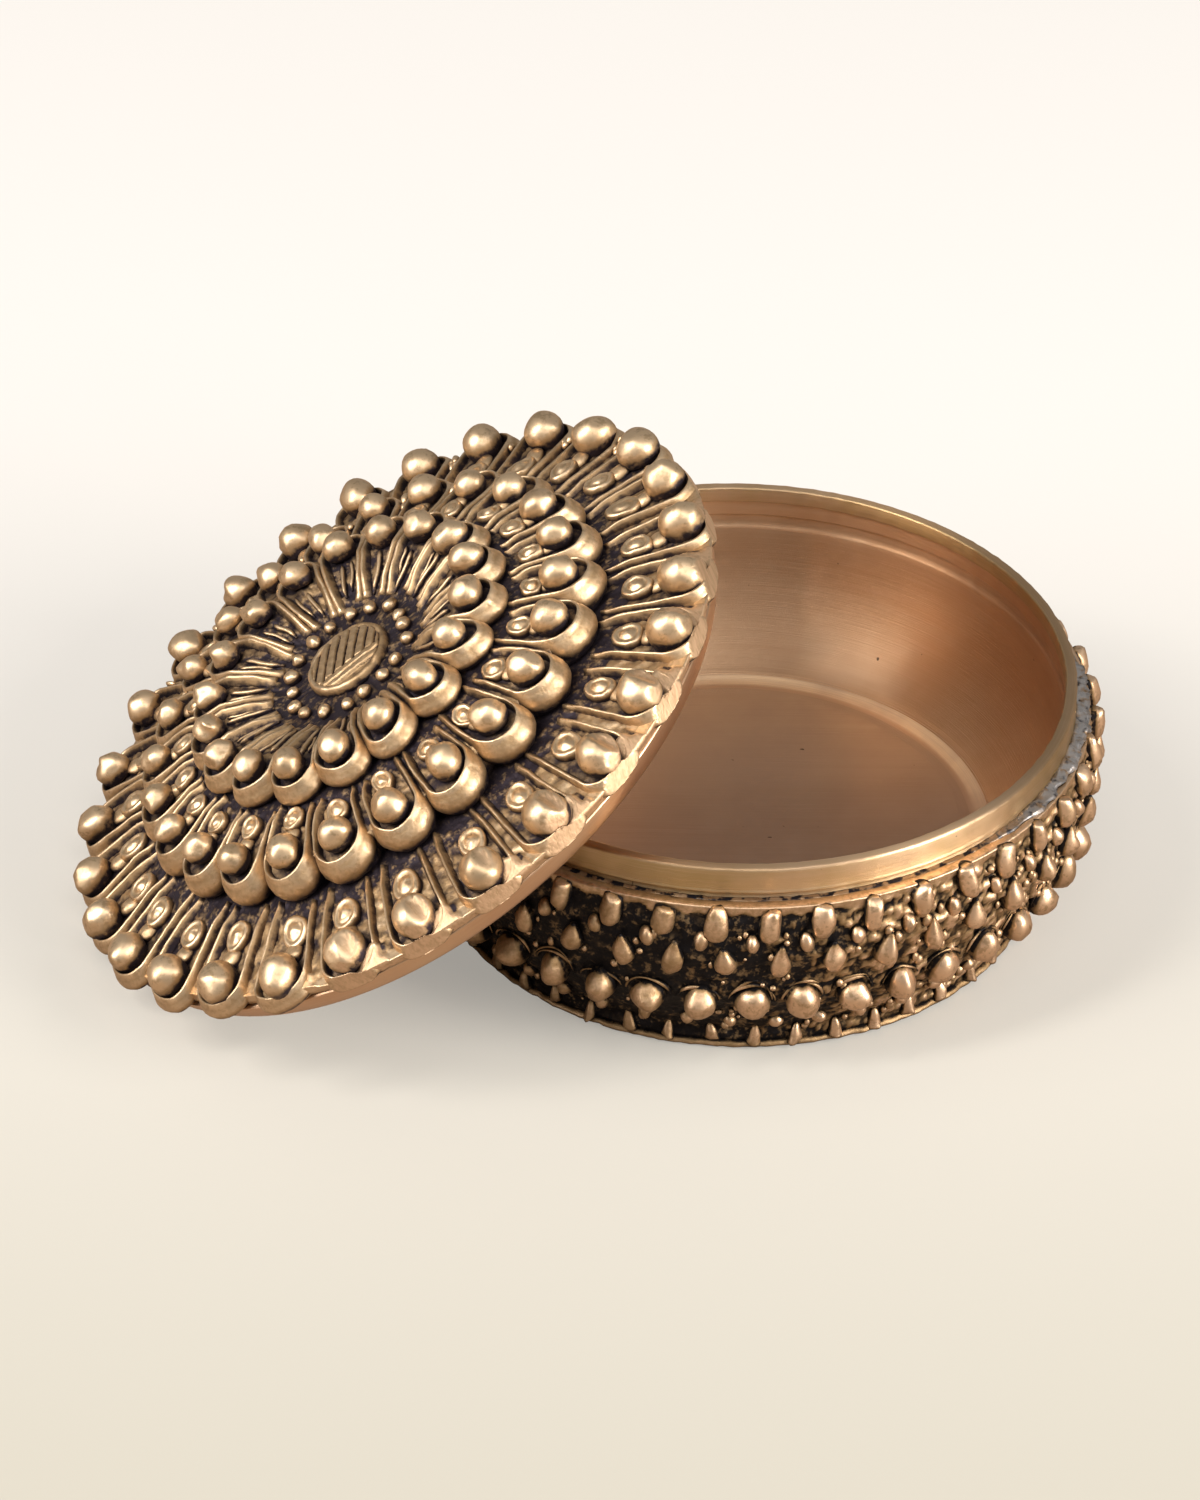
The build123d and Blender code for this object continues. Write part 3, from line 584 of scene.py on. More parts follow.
def wax_grain(profile, width, depth, height, columns=18):
    """A grain standing along Z: profile rows are (height from -1 to 1, width from 0 to 1)."""
    rows = np.array(profile, float)
    turn = full_turn(columns)
    wide = rows[:, 1:2] * (1 + 0.05 * ripple(turn, 3) + 0.04 * np.sin(turn * 2))
    grid = np.stack([
        wide * np.cos(turn) * depth, wide * np.sin(turn) * width, np.repeat(rows[:, :1] * height, columns, 1)
    ], -1)
    outward = np.cos(turn)[None] * np.ones_like(wide)
    relief = smooth_step(0.0, 0.6, outward) * smooth_step(0.0, 0.5, rows[:, 1:2]) + 0.04
    relief = relief * (0.9 + 0.1 * rows[:, :1])
    grid += lumps(grid + random.uniform(0, 90), max(width, height) * 1.3, 8)[..., None] * 0.07 * width
    grid = hammered(grid / (depth, width, height), 1.0, 7, 0.16) * (depth, width, height)
    return loft(grid, np.clip(relief, 0, 1))


def painted_light_side(azimuth):
    """Painted light and shade on the shell's ornament at an azimuth in degrees: 1 on the lit right, 0 on the left,
    where the lid casts its shade.
    """
    wrapped = (np.asarray(azimuth) + 180) % 360 - 180
    return smooth_step(-112, -62, wrapped) * smooth_step(150, 90, wrapped)


def grain_row(profile, count, phase, height, width, depth, tall, sink, uneven=0.07, wander=0.18):
    """A row of grains round the shell: width and depth are half sizes, tall is half the height."""
    forms = []
    radius, lean = shell_spot(height)
    for number in range(count):
        scale = random.normal(1, uneven, 3).clip(1 - 2 * uneven, 1 + 2 * uneven)
        points, faces, values = wax_grain(profile, width * scale[0], depth * scale[1], tall * scale[2])
        roll = math.radians(random.normal(0, 5))
        points = points @ np.array([
            (1, 0, 0), (0, math.cos(roll), math.sin(roll)), (0, -math.sin(roll), math.cos(roll))
        ])
        points = tipped(points, lean + random.normal(0, 3))
        spot = phase + 360 * number / count + random.normal(0, wander) * 57.3 / radius * 0.6
        # Painted shade: grains on the left, where the lid shades the shell, get less of the crest colour than the
        # lit ones on the right.
        values[:, 0] *= 0.68 + 0.32 * painted_light_side(spot)
        level = height + random.normal(0, wander * 0.5)
        forms.append(on_ring((points, faces, values), radius - sink, level, spot))
    return forms


drop_profile = [(-1, 0.03), (-0.93, 0.42), (-0.8, 0.7), (-0.55, 0.93), (-0.2, 1), (0.2, 0.97), (0.6, 0.9),
                (0.85, 0.84), (0.95, 0.7), (1, 0.4)]
tear_profile = [(-1, 0.03), (-0.92, 0.4), (-0.75, 0.74), (-0.5, 0.96), (-0.25, 1), (0.05, 0.9), (0.35, 0.68),
                (0.65, 0.42), (0.85, 0.25), (1, 0.08)]
bead_profile = [(-1.15, 0.05), (-1.1, 0.2), (-0.95, 0.33), (-0.8, 0.6), (-0.55, 0.87), (-0.25, 1), (0.1, 1),
                (0.45, 0.88), (0.72, 0.66), (0.9, 0.4), (0.98, 0.1)]
fin_profile = [(-1, 1.0), (-0.8, 0.95), (-0.5, 0.8), (-0.1, 0.72), (0.3, 0.6), (0.7, 0.42), (0.92, 0.22),
               (1, 0.05)]
egg_profile = [(h, max(0.02, math.sqrt(max(0.0, 1 - h * h)))) for h in -np.cos(np.linspace(0, math.pi, 10))]

# %% The six rows
row_count, foot_row_count, large_bead_phase = 43, 46, 3.7
rows_of_grains = {
    "cast_lip_drops": ("lip_drops", drop_profile, row_count, 6.1, 20.5, 1.18, 1.35, 1.95, -0.2),
    "cast_upper_beads": ("upper_beads", egg_profile, row_count, 3.6, 18.3, 0.84, 1.0, 1.15, -0.1),
    "cast_teardrops": ("teardrops", tear_profile, row_count, 8.0, 16.0, 1.27, 1.5, 2.2, -0.15),
    "cast_large_beads": ("large_beads", bead_profile, row_count, large_bead_phase, 9.7, 1.78, 2.1, 2.15, -0.25),
    "cast_lower_beads": ("lower_beads", egg_profile, foot_row_count, 2.2, 4.9, 0.82, 0.95, 0.95, -0.1),
    "cast_foot_grains": ("foot_grains", fin_profile, foot_row_count, 6.5, 1.85, 0.85, 0.95, 1.2, -0.1),
}
for name, (node, *row) in rows_of_grains.items():
    add_piece(name, grain_row(*row), [node], **base_cast)


# %% [markdown]
# Over each large bead lie one or two fine wires, bent into a hood. A tube along a path is the natural shape for
# wire: each ring of the tube is square to the path, and the ends taper into the shell.

# %% Wire helper and hoods
def wire(path, thickness, sides=8):
    """A tapered tube along a path, with a thickness for each point of the path. It leaves the relief at 0."""
    along = np.gradient(path, axis=0)
    along /= np.linalg.norm(along, axis=1)[:, None]
    up = np.array((0, 0, 1.0)) if abs(along[:, 2]).max() < 0.9 else np.array((1.0, 0, 0))
    side = np.cross(along, up)
    side /= np.linalg.norm(side, axis=1)[:, None]
    normal = np.cross(side, along)
    turn = full_turn(sides)[:, None]
    spokes = np.cos(turn) * side[:, None] + np.sin(turn) * normal[:, None]
    return loft(path[:, None] + thickness[:, None, None] * spokes, 0.0)


def hood(reach, rise, thickness):
    """An arc of wire in the tangent plane, standing on both sides of a bead."""
    turn = np.linspace(math.radians(12), math.radians(168), 17)
    path = np.stack([np.zeros(17), -np.cos(turn) * reach, np.sin(turn) * rise], -1)
    path[:, 0] += 0.08 * ripple(turn, 3)
    path[:, 1] += 0.14 * ripple(turn, 2)
    path[:, 2] += 0.16 * ripple(turn, 2.5)
    uneven = 0.75 + 0.35 * ripple(turn, 3)
    points, faces, values = wire(path, thickness * uneven * (0.4 + 0.6 * np.sin(turn)))
    values[:, 0] = smooth_step(-0.05, 0.3, points[:, 0]) * 0.75 + 0.06
    return points, faces, values


hoods = []
hood_radius, hood_lean = shell_spot(11.0)
for number in range(row_count):
    for reach, rise, thickness, often in ((2.35, 2.35, 0.27, True), (2.65, 3.05, 0.2, False)):
        if not often and random.random() < 0.6:
            continue
        reach, rise = reach * random.uniform(0.88, 1.06), rise * random.uniform(0.85, 1.1)
        points, faces, values = hood(reach, rise, thickness)
        form = tipped(points, hood_lean), faces, values
        hoods.append(on_ring(form, hood_radius - 0.22, 9.5, large_bead_phase + 360 * number / row_count))
add_piece("cast_hood_wires", hoods, ["hood_wires"], **base_cast)

# %% [markdown]
# Between the rows the casting is full of small accidental granules. They are made as one piece of its own, with
# more of them on the side where the casting is clumsier.

# %% Granules between the rows
granules = []
for number in range(1100):
    azimuth = random.uniform(-180, 180)
    if math.cos(math.radians(azimuth - 10)) < random.uniform(-1.2, 1.1):
        continue
    height = random.uniform(2.2, 20.6)
    radius, lean = shell_spot(height)
    size = random.uniform(0.22, 0.5) + 0.25 * random.random() * smooth_step(-90, -50, azimuth)
    form = wax_grain(egg_profile[::2] + egg_profile[-1:], size, size, size * random.uniform(0.8, 1.5), 8)
    form[2][:, 0] *= 0.75
    granules.append(on_ring(form, radius + size * 0.2, height, azimuth))
add_piece("cast_granules", granules, [], **base_cast)

# %% [markdown]
# The foot ring is the thin bright line that the box stands on, and the base plate closes the underside. Both are
# outlines spun round the axis, and the ring's is a little ragged.

# %% Foot ring and base plate
foot_outline = [(30.7, 0.02, 0.6), (31.5, 0.0, 0.7), (32.3, 0.02, 0.75), (32.62, 0.2, 0.75), (32.68, 0.42, 0.65),
                (32.5, 0.68, 0.45), (32.2, 0.82, 0.2), (30.7, 0.82, 0.2)]
add_piece("bright_foot_ring", [spin(foot_outline, 360, 0.12, 9)], ["foot_ring"], **base_cast)

plate_outline = [(0.02, 0, 0.7)] + [(radius, 0, 0.7) for radius in np.linspace(4, 29.2, 12)]
plate_outline += [(29.6, 0.03, 0.2), (29.8, 0.1, 0.2), (30.0, 0.03, 0.3), (30.6, 0.02, 0.8), (30.65, 0.1, 0.8),
                  (30.65, 1.2, 0.5), (24.5, 1.2, 0.5), (0.02, 1.2, 0.5)]
add_piece("turned_base_plate", [spin(plate_outline, 240)], ["base_plate"], band_brass, **base_turned)


# %% Lid: how many petals stand on each tier, where the first one is, and heights of the sloping tops
outer_count, outer_phase, outer_circle = 28, 50.72, 37.8
middle_count, middle_phase, middle_circle = 24, 63.67, 26.0
inner_count, inner_phase, inner_circle = 18, 43.47, 16.8
outer_top_line = [(29.1, 6.3), (39.3, 4.0)]
middle_top_line = [(19.8, 11.2), (28.8, 9.0)]
inner_top_line = [(14.9, 13.6), (19.5, 12.9)]
dish_line = [(8.6, 11.9), (14.9, 13.6)]


def slope_height(line, radius):
    """Height at a radius on a straight slope."""
    (r0, z0), (r1, z1) = line
    return z0 + (z1 - z0) * (np.asarray(radius) - r0) / (r1 - r0)


def outer_slope(radius):
    """Height of the outer tier at a radius."""
    return slope_height(outer_top_line, radius)


def middle_slope(radius):
    """Height of the middle tier at a radius."""
    return slope_height(middle_top_line, radius)


def inner_height(radius):
    """Height on the inner tier: flat floor, then the dish's slope, then the falling edge."""
    up = np.maximum(slope_height(dish_line, radius), 11.9)
    return np.minimum(up, slope_height(inner_top_line, radius))


# %% [markdown]
# One side of the lid's edge was filed after casting. The file cut a flat cone through everything that stood out:
# the petal walls, the tips of the lobes and a little of some beads. One formula for that cone serves them all.

# %% The filed cone
filed_radius = 40.05


def filed_share(azimuth):
    """How far the lid's edge was filed at an azimuth in degrees: 1 at the right and lower right."""
    off = np.abs((np.asarray(azimuth) + 46 + 180) % 360 - 180)
    return smooth_step(74, 56, off)


def filed_height(radius):
    """Height of the filed cone at a radius."""
    return 5.3 - 0.5 * (np.asarray(radius) - 37.6)


def file_down(points, values, azimuth_offset=0.0, spared=0.0):
    """File points of one petal or bead on the +X side, and mark what was cut: the file bit on its right side."""
    radius = radius_of(points)
    whole = filed_share(azimuth_of(points) + azimuth_offset)
    share = whole * smooth_step(0.2, 1.4, points[..., 1])
    over = np.maximum(points[..., 2] - spared - filed_height(np.minimum(radius, filed_radius)), 0) * (radius > 37.4)
    cut = points.copy()
    cut[..., 2] -= over * share
    cut[..., :2] *= (1 - whole * np.maximum(1 - filed_radius / np.maximum(radius, 1), 0))[..., None]
    marked = np.maximum(share * smooth_step(0.0, 0.06, over), whole * smooth_step(0.0, 0.2, radius - filed_radius))
    worn, filed = values[..., 0], np.maximum(values[..., 1], marked)
    return cut, np.stack([np.maximum(worn, marked * 0.95), filed], -1)


# %% [markdown]
# Each tier of the lid is a plate whose edge bulges out under every petal. In polar form that outline is one
# formula: the far side of a circle that stands at the petal's tip, or a plain circle in the gaps.

# %% Scalloped plate
def scallops(azimuth, count, phase, circle, half_width, gap_radius):
    """Radius of a scalloped edge at an azimuth in degrees."""
    pitch = 360 / count
    off = np.radians((azimuth - phase + pitch / 2) % pitch - pitch / 2)
    inside = np.maximum(half_width ** 2 - (circle * np.sin(off)) ** 2, 0)
    lobe = np.where(inside > 0, circle * np.cos(off) + np.sqrt(inside), 0)
    return np.maximum(lobe, gap_radius)


def tier(rows, count, phase, circle, half_width, gap_radius, columns_each, filed=False, seed=20):
    """A plate from rows of (share, radius, height, relief). Share says how much of the edge a row follows."""
    columns = count * columns_each
    azimuth = np.arange(columns) * 360 / columns
    edge = scallops(azimuth, count, phase, circle, half_width, gap_radius)
    if filed:
        edge = edge + filed_share(azimuth) * (filed_radius - edge)
    grid, relief = [], []
    for share, radius, height, worn in rows:
        reach = share * edge + radius
        z = height(reach) if callable(height) else np.full(columns, float(height))
        grid.append(np.stack([reach * np.cos(np.radians(azimuth)), reach * np.sin(np.radians(azimuth)), z], -1))
        relief.append(np.full(columns, worn))
    grid, relief = np.array(grid), np.array(relief)
    bumps = (lumps(grid, 1.1, seed) * 0.09 + lumps(grid, 0.55, seed + 30) * 0.06) * (relief < 0.35)
    grid[..., 2] += bumps
    values = np.stack([np.clip(relief + bumps * 1.2, 0, 1), relief * 0], -1)
    return grid, values


def brown_out(grid, values, start, end, top_rows, most=0.3):
    """Let the floor of a tier get browner from a dark start near the tier above it to an end further out."""
    radius = radius_of(grid[:top_rows])
    patchy = 0.7 + 0.6 * lumps(grid[:top_rows], 2.6, 71)
    values[:top_rows, :, 0] += most * smooth_step(start, end, radius) * patchy
    values[..., 0] = np.clip(values[..., 0], 0, 1)


def as_form(grid, values):
    """A closed ring of rows as a form."""
    return loft(grid, values[..., 0], values[..., 1], closed_rows=True)


# %% Outer tier, with its filed land
outer_rows = [(0, 27.5, 6.35, 0.03)]
outer_rows += [(0, radius, outer_slope, 0.04) for radius in np.linspace(28.6, 36.6, 30)]
outer_rows += [(0, radius, outer_slope, 0.06) for radius in (36.8, 37.0, 37.2, 37.4, 37.7, 38.0, 38.3, 38.6)]
outer_rows += [(share, 38.7 * (1 - share), outer_slope, 0.4) for share in (0.05, 0.3, 0.6, 0.8, 0.93)]
top_rows = len(outer_rows) + 1
outer_rows += [
    (1, 0, lambda radius: outer_slope(radius) - 0.12, 0.7), (1, 0.05, 3.3, 0.6), (1, -0.1, 2.75, 0.45),
    (1, -0.7, 2.45, 0.3), (0, 38.6, 2.42, 0.2), (0, 36.35, 2.42, 0.3), (0, 36.3, 3.7, 0.4), (0, 36.25, 3.8, 0.4),
    (0, 32.8, 3.8, 0.5), (0, 32.75, 3.85, 0.5), (0, 32.75, 4.55, 0.4), (0, 32.7, 4.6, 0.5), (0, 24.0, 4.6, 0.5),
    (0, 24.0, 5.4, 0.4), (0, 18.0, 5.4, 0.4), (0, 18.0, 6.25, 0.3),
]
grid, values = tier(outer_rows, outer_count, outer_phase, outer_circle, 2.85, 38.9, 32, filed=True)
brown_out(grid, values, 29.6, 33.5, top_rows)
radius = radius_of(grid)
azimuth = azimuth_of(grid)
pitch = 360 / outer_count
from_petal = np.radians((azimuth - outer_phase + pitch / 2) % pitch - pitch / 2) * radius
from_gap = np.radians(pitch / 2) * radius - np.abs(from_petal)
start = 37.3 + 0.35 * lumps(grid, 2.4, 61)
land = filed_share(azimuth) * smooth_step(start, start + 0.5, radius) * smooth_step(0.9, 1.7, from_petal)
land[top_rows:] = 0
rest = 1 - smooth_step(0.8, 0.4, from_gap) * smooth_step(39.5, 38.8, radius + 0.3 * lumps(grid, 1.6, 62))
flat_height = filed_height(radius) - 0.5 * (1 - rest) - 0.02
grid[..., 2] += land * (flat_height - grid[..., 2])
values[..., 0] += land * (0.1 + 0.85 * rest - values[..., 0])
values[..., 1] = land * rest * smooth_step(37.8, 38.3, radius)
between = smooth_step(1.25, 0.7, from_gap) * smooth_step(30.5, 32.5, radius) * (1 - land)
values[:top_rows, :, 0] += (between * (0.2 + 0.14 * lumps(grid, 2.0, 63)))[:top_rows]
side = filed_share(azimuth)
for row, inward in enumerate((0.3, 0.62, 0.2)):
    grid[top_rows + row, :, :2] *= (1 - side[top_rows + row] * inward / filed_radius)[:, None]
side = side * (radius > 39.6)
side[:top_rows - 1] = 0
side[top_rows + 3:] = 0
values[..., 1] = np.maximum(values[..., 1], side)
values[..., 0] = np.maximum(values[..., 0], side * 0.9)
add_piece("cast_dome", [as_form(grid, values)], ["lid_dome"], **lid_cast)

# %% Middle and inner tiers
middle_rows = [(0, 18.6, 11.25, 0.03)] + [(0, radius, middle_slope, 0.04) for radius in np.linspace(19.6, 25.2, 22)]
middle_rows += [(share, 25.6 * (1 - share), middle_slope, 0.06) for share in (0.3, 0.7, 0.95)]
middle_top_rows = len(middle_rows)
middle_rows += [(1, 0, 8.7, 0.4), (1, 0.05, 7.8, 0.35), (1, -0.15, 6.8, 0.1), (1, -0.5, 6.2, 0.03),
                (0, 14.0, 6.3, 0.3), (0, 14.0, 11.1, 0.2)]
grid, values = tier(middle_rows, middle_count, middle_phase, middle_circle, 2.8, 26.3, 30, seed=21)
brown_out(grid, values, 20.0, 23.0, middle_top_rows)
add_piece("cast_middle_tier", [as_form(grid, values)], ["middle_tier"], **lid_cast)

inner_rows = [(0, 0.02, 11.9, 0.04)] + [(0, radius, 11.9, 0.04) for radius in (3, 5, 6.5, 8.2)]
inner_rows += [(0, radius, inner_height, 0.04) for radius in np.linspace(8.8, 16.2, 26)]
inner_rows += [(share, 16.5 * (1 - share), inner_height, 0.06) for share in (0.3, 0.7, 0.95)]
inner_top_rows = len(inner_rows)
inner_rows += [(1, 0, 12.6, 0.4), (1, 0.05, 12.0, 0.35), (1, -0.2, 11.3, 0.1), (1, -0.5, 10.9, 0.03),
               (0, 13.9, 11.2, 0.2), (0, 13.9, 9.6, 0.2), (0, 0.02, 9.6, 0.2)]
grid, values = tier(inner_rows, inner_count, inner_phase, inner_circle, 2.7, 16.9, 36, seed=22)
brown_out(grid, values, 10.0, 12.5, inner_top_rows, 0.16)
add_piece("cast_inner_tier", [as_form(grid, values)], ["inner_tier"], **lid_cast)

# %% [markdown]
# The smooth side band under the petals slips over the collar. It is turned, and ends in a small chamfer.

# %% Side band and inner plate
band_outline = [(36.3, 0.7, 0.6), (36.95, 0.03, 0.8), (37.2, 0.0, 0.9), (38.05, 0.0, 0.9), (38.28, 0.06, 1),
                (38.45, 0.3, 0.8), (38.75, 0.9, 0.8), (38.95, 1.5, 0.8), (39.12, 2.1, 0.75), (39.18, 2.42, 0.6),
                (38.0, 2.42, 0.4), (36.3, 2.42, 0.4)]
add_piece("side_band", [spin(band_outline, 300)], ["lid_seat_ring"], **lid_turned)
lid_plate_outline = [(0.02, 4.6, 0.7)] + [(radius, 4.6, 0.7) for radius in np.linspace(3, 23.7, 10)]
lid_plate_outline += [(23.95, 4.64, 0.5), (23.95, 5.4, 0.4), (0.02, 5.4, 0.4)]
add_piece("lid_lining", [spin(lid_plate_outline, 240)], ["lid_inner_plate"], **lid_turned)


# %% [markdown]
# A petal is a raised wall bent into a U round its bead. Its top is a thin line that shines. On the two upper tiers
# the wall bulges below that line, like the side of a small pot. The form is a section swept along the U. The legs
# differ in length and bend, because the wax wall was laid by hand.

# %% Petal walls
def petal_wall(circle, half_width, tip_reach, root, root_half_width, height_at, drop, bulge, wall, leg_share):
    """One petal's wall on the +X side: tip_reach is how far the tip stands out past the circle of the beads."""
    middle, root_middle = half_width - wall / 2, root_half_width - wall / 2
    share = np.linspace(0, 1, 15)[:-1]
    legs = []
    for side in (-1, 1):
        start = root + random.uniform(-0.4, 0.6)
        bend = random.normal(0.12, 0.12) * np.sin(share * np.pi)
        legs.append(np.stack([start + share * (circle - start),
                              side * (root_middle + share * (middle - root_middle) + bend)], -1))
    turn = np.linspace(-np.pi / 2, np.pi / 2, 27)
    lean = random.normal(0, 0.12)
    tip = np.stack([circle + (tip_reach - wall / 2) * np.cos(turn + lean) / math.cos(lean * 0.5),
                    middle * np.sin(turn)], -1)
    tip[:, 0] = np.maximum(tip[:, 0], circle - 0.3)
    path = np.concatenate([legs[0], tip, legs[1][::-1]])
    path = np.concatenate([path[:1], (path[:-2] + 2 * path[1:-1] + path[2:]) / 4, path[-1:]])
    along = np.gradient(path, axis=0)
    along /= np.linalg.norm(along, axis=1)[:, None]
    out = np.stack([along[:, 1], -along[:, 0]], -1)
    at_tip = smooth_step(circle - 2.8, circle + middle * 0.4, path[:, 0])
    section = np.array([
        (-0.9, -0.45, 0.05, 0.02), (-0.72, 0.15, 0.12, 0.16), (-0.46, 0.5, 0.35, 0.22), (-0.22, 0.8, 0.85, 0.42),
        (0.0, 0.98, 1, 0.95), (0.2, 0.84, 1, 0.5), (0.42, 0.52, 0.7, 0.26), (0.6, 0.2, 0.5, 0.2),
        (0.8, -0.15, 0.6, 0.2), (0.98, -0.6, 0.62, 0.16), (1.0, -1.0, 0.44, 0.1), (0.85, -1.35, 0.24, 0.06),
        (0.55, -1.7, 0.08, 0.02), (0.2, -1.9, 0.02, 0.02), (-0.3, -1.9, 0.02, 0.02),
    ])
    waver = random.normal(0, 0.08, (len(path), 2)).cumsum(0) * 0.3
    waver -= waver.mean(0)
    lift = 1 + 0.14 * ripple(np.linspace(0, 9, len(path)), 1)
    ends = np.minimum(np.arange(len(path)), np.arange(len(path))[::-1])
    lift = lift * (0.45 + 0.55 * smooth_step(0, 5, ends))
    grid, relief = [], []
    for offset, level, tip_worn, leg_worn in section:
        beyond = max(offset - 0.5, 0)
        sweep = wall * (offset - beyond + beyond * (0.3 + (bulge - 0.3) * at_tip))
        sweep = sweep * (leg_share + (1 - leg_share) * at_tip)
        spot = path + waver + out * np.reshape(sweep, (-1, 1))
        above = level * lift if level > 0 else level / 1.9 * (0.6 + (drop - 0.6) * at_tip)
        radius = np.hypot(*(path + waver).T)
        grid.append(np.column_stack([spot, height_at(radius) + above * np.ones(len(path))]))
        relief.append(leg_worn + (tip_worn - leg_worn) * at_tip)
    return np.swapaxes(np.array(grid), 0, 1), np.array(relief).T


def ring_of_petals(count, phase, *shape, filed=False):
    """Petal walls round the lid."""
    forms = []
    for number in range(count):
        grid, relief = petal_wall(*shape)
        values = np.stack([relief, relief * 0], -1)
        azimuth = phase + 360 * number / count + random.normal(0, 0.25)
        if filed:
            grid, values = file_down(grid, values, azimuth)
        forms.append(on_ring(loft(grid, values[..., 0], values[..., 1]), 0, 0, azimuth))
    return forms


outer_walls = ring_of_petals(outer_count, outer_phase, outer_circle, 3.5, 2.85, 28.7, 2.65, outer_slope,
                             1.3, 1.0, 0.62, 1.1, filed=True)
middle_walls = ring_of_petals(middle_count, middle_phase, middle_circle, 3.0, 2.9, 19.7, 2.25, middle_slope,
                              2.6, 1.9, 0.58, 1.2)
inner_walls = ring_of_petals(inner_count, inner_phase, inner_circle, 2.82, 2.8, 9.2, 1.4, inner_height,
                             1.9, 1.9, 0.58, 1.55)
for tier_name, walls in (("outer", outer_walls), ("middle", middle_walls), ("inner", inner_walls)):
    add_piece(f"{tier_name}_petal_walls", walls, [f"{tier_name}_petals"], **lid_cast)


# %% [markdown]
# The beads were rolled and set by hand, so no two are alike: each gets its own size, a little lean, and a few
# flats. They are larger on the side that faces right. Only the dome of each bead is polished.

# %% Beads on the lid
def set_bead(width, length, height, cuts=9, rough=0.05):
    """A bead seen from above: width across the petal, length along it, and height."""
    angle = np.radians(np.array([4, 14, 26, 38, 50, 62, 74, 86, 98, 110, 122, 134]))[:, None]
    turn = full_turn(26)
    fullness = 1 + 0.04 * ripple(turn, 2) + 0.02 * ripple(turn, 3)
    grid = np.stack([
        np.sin(angle) * np.cos(turn) * fullness,
        np.sin(angle) * np.sin(turn) * fullness,
        np.cos(angle) * np.ones(26),
    ], -1)
    grid += (lumps(grid + random.uniform(0, 90), 1.7, 12) * rough)[..., None]
    grid = hammered(grid, 1.0, cuts, 0.1) * (length, width, height)
    relief = smooth_step(104, 52, np.degrees(angle)) * np.ones(26)
    return loft(grid, 0.04 + 0.96 * relief)


def lean_over(form, degrees):
    """A form tipped so that its top moves outward."""
    points, faces, values = form
    return tipped(points, degrees), faces, values


def ring_of_beads(count, phase, circle, radius, height, swell, filed=False):
    """Beads round the lid: swell is how much larger they are on the right, and smaller on the left."""
    forms = []
    for number in range(count):
        azimuth = phase + 360 * number / count
        on_right = math.cos(math.radians(azimuth + 35))
        size = radius * (1 + swell * on_right) * random.uniform(0.96, 1.03)
        clumsy = smooth_step(-0.2, -0.8, on_right)
        form = set_bead(size * random.uniform(0.95, 1.01), size * 1.06 * random.uniform(0.95, 1.05),
                        size * random.uniform(0.96, 1.05), rough=0.045 + 0.07 * clumsy)
        form = lean_over(form, random.normal(10, 4))
        if filed:
            spot = (circle, 0, height)
            points, values = file_down(form[0] + spot, form[2], azimuth, random.uniform(1.1, 2.0))
            form = points - spot, form[1], values
        outward = 0.4 * (1 - float(filed_share(azimuth))) if filed else 0.0
        place = circle + outward + random.normal(0, 0.12)
        forms.append(on_ring(form, place, height, azimuth + random.normal(0, 0.3)))
    return forms


outer_beads = ring_of_beads(outer_count, outer_phase, outer_circle - 0.05, 2.28, 5.5, 0.08, filed=True)
middle_beads = ring_of_beads(middle_count, middle_phase, middle_circle - 0.1, 1.84, 10.95, 0.08)
inner_beads = ring_of_beads(inner_count, inner_phase, inner_circle - 0.1, 1.8, 14.55, 0.05)
for tier_name, beads in (("outer", outer_beads), ("middle", middle_beads), ("inner", inner_beads)):
    add_piece(f"{tier_name}_cast_beads", beads, [f"{tier_name}_beads"], **lid_cast)


# %% [markdown]
# Just inside each bead of the two lower tiers sits a flat oval eye: a ring with a dot in it. A short neck of metal
# joins it to the bead.

# %% Eyes
def eye(half_width, half_length, tall):
    """A low oval disc with a raised rim and a dot, as rows of (share of the size, height, relief)."""
    rows = [(1.0, -0.6, 0.05), (1.06, 0.1, 0.25), (1.02, 0.5, 0.6), (0.92, 0.72, 0.9), (0.8, 0.76, 0.95),
            (0.7, 0.68, 0.65), (0.6, 0.62, 0.5), (0.5, 0.66, 0.65), (0.4, 0.8, 0.85), (0.22, 0.94, 1),
            (0.02, 0.98, 1)]
    turn = full_turn(24)
    oval = 1 + 0.05 * ripple(turn, 2) + 0.04 * ripple(turn, 3)
    grid = np.stack([
        np.stack([share * half_length * np.cos(turn) * oval, share * half_width * np.sin(turn) * oval,
                  np.full(24, level * tall)], -1)
        for share, level, worn in rows
    ])
    grid += (lumps(grid + random.uniform(0, 90), 1.2, 14) * 0.06)[..., None]
    return loft(grid, np.array([row[2] for row in rows])[:, None])


def ring_of_eyes(count, phase, circle, half_width, half_length, height_at, slope, neck):
    """Eyes round the lid, each tipped with the slope, and the necks that join them to the beads."""
    forms = []
    for number in range(count):
        size = random.uniform(0.92, 1.06)
        azimuth = phase + 360 * number / count + random.normal(0, 0.6)
        form = eye(half_width * size, half_length * size, random.uniform(0.9, 1.15))
        form = lean_over(form, slope + random.normal(0, 4))
        spot = circle + random.normal(0, 0.2)
        forms.append(on_ring(form, spot, float(height_at(spot)) + 0.1, azimuth))
        joint = set_bead(half_width * 0.75, neck, 0.75, cuts=4)
        joint[2][:, 0] *= 0.6
        reach = spot + half_length + neck * 0.25
        forms.append(on_ring(joint, reach, float(height_at(reach)) + 0.1, azimuth))
    return forms


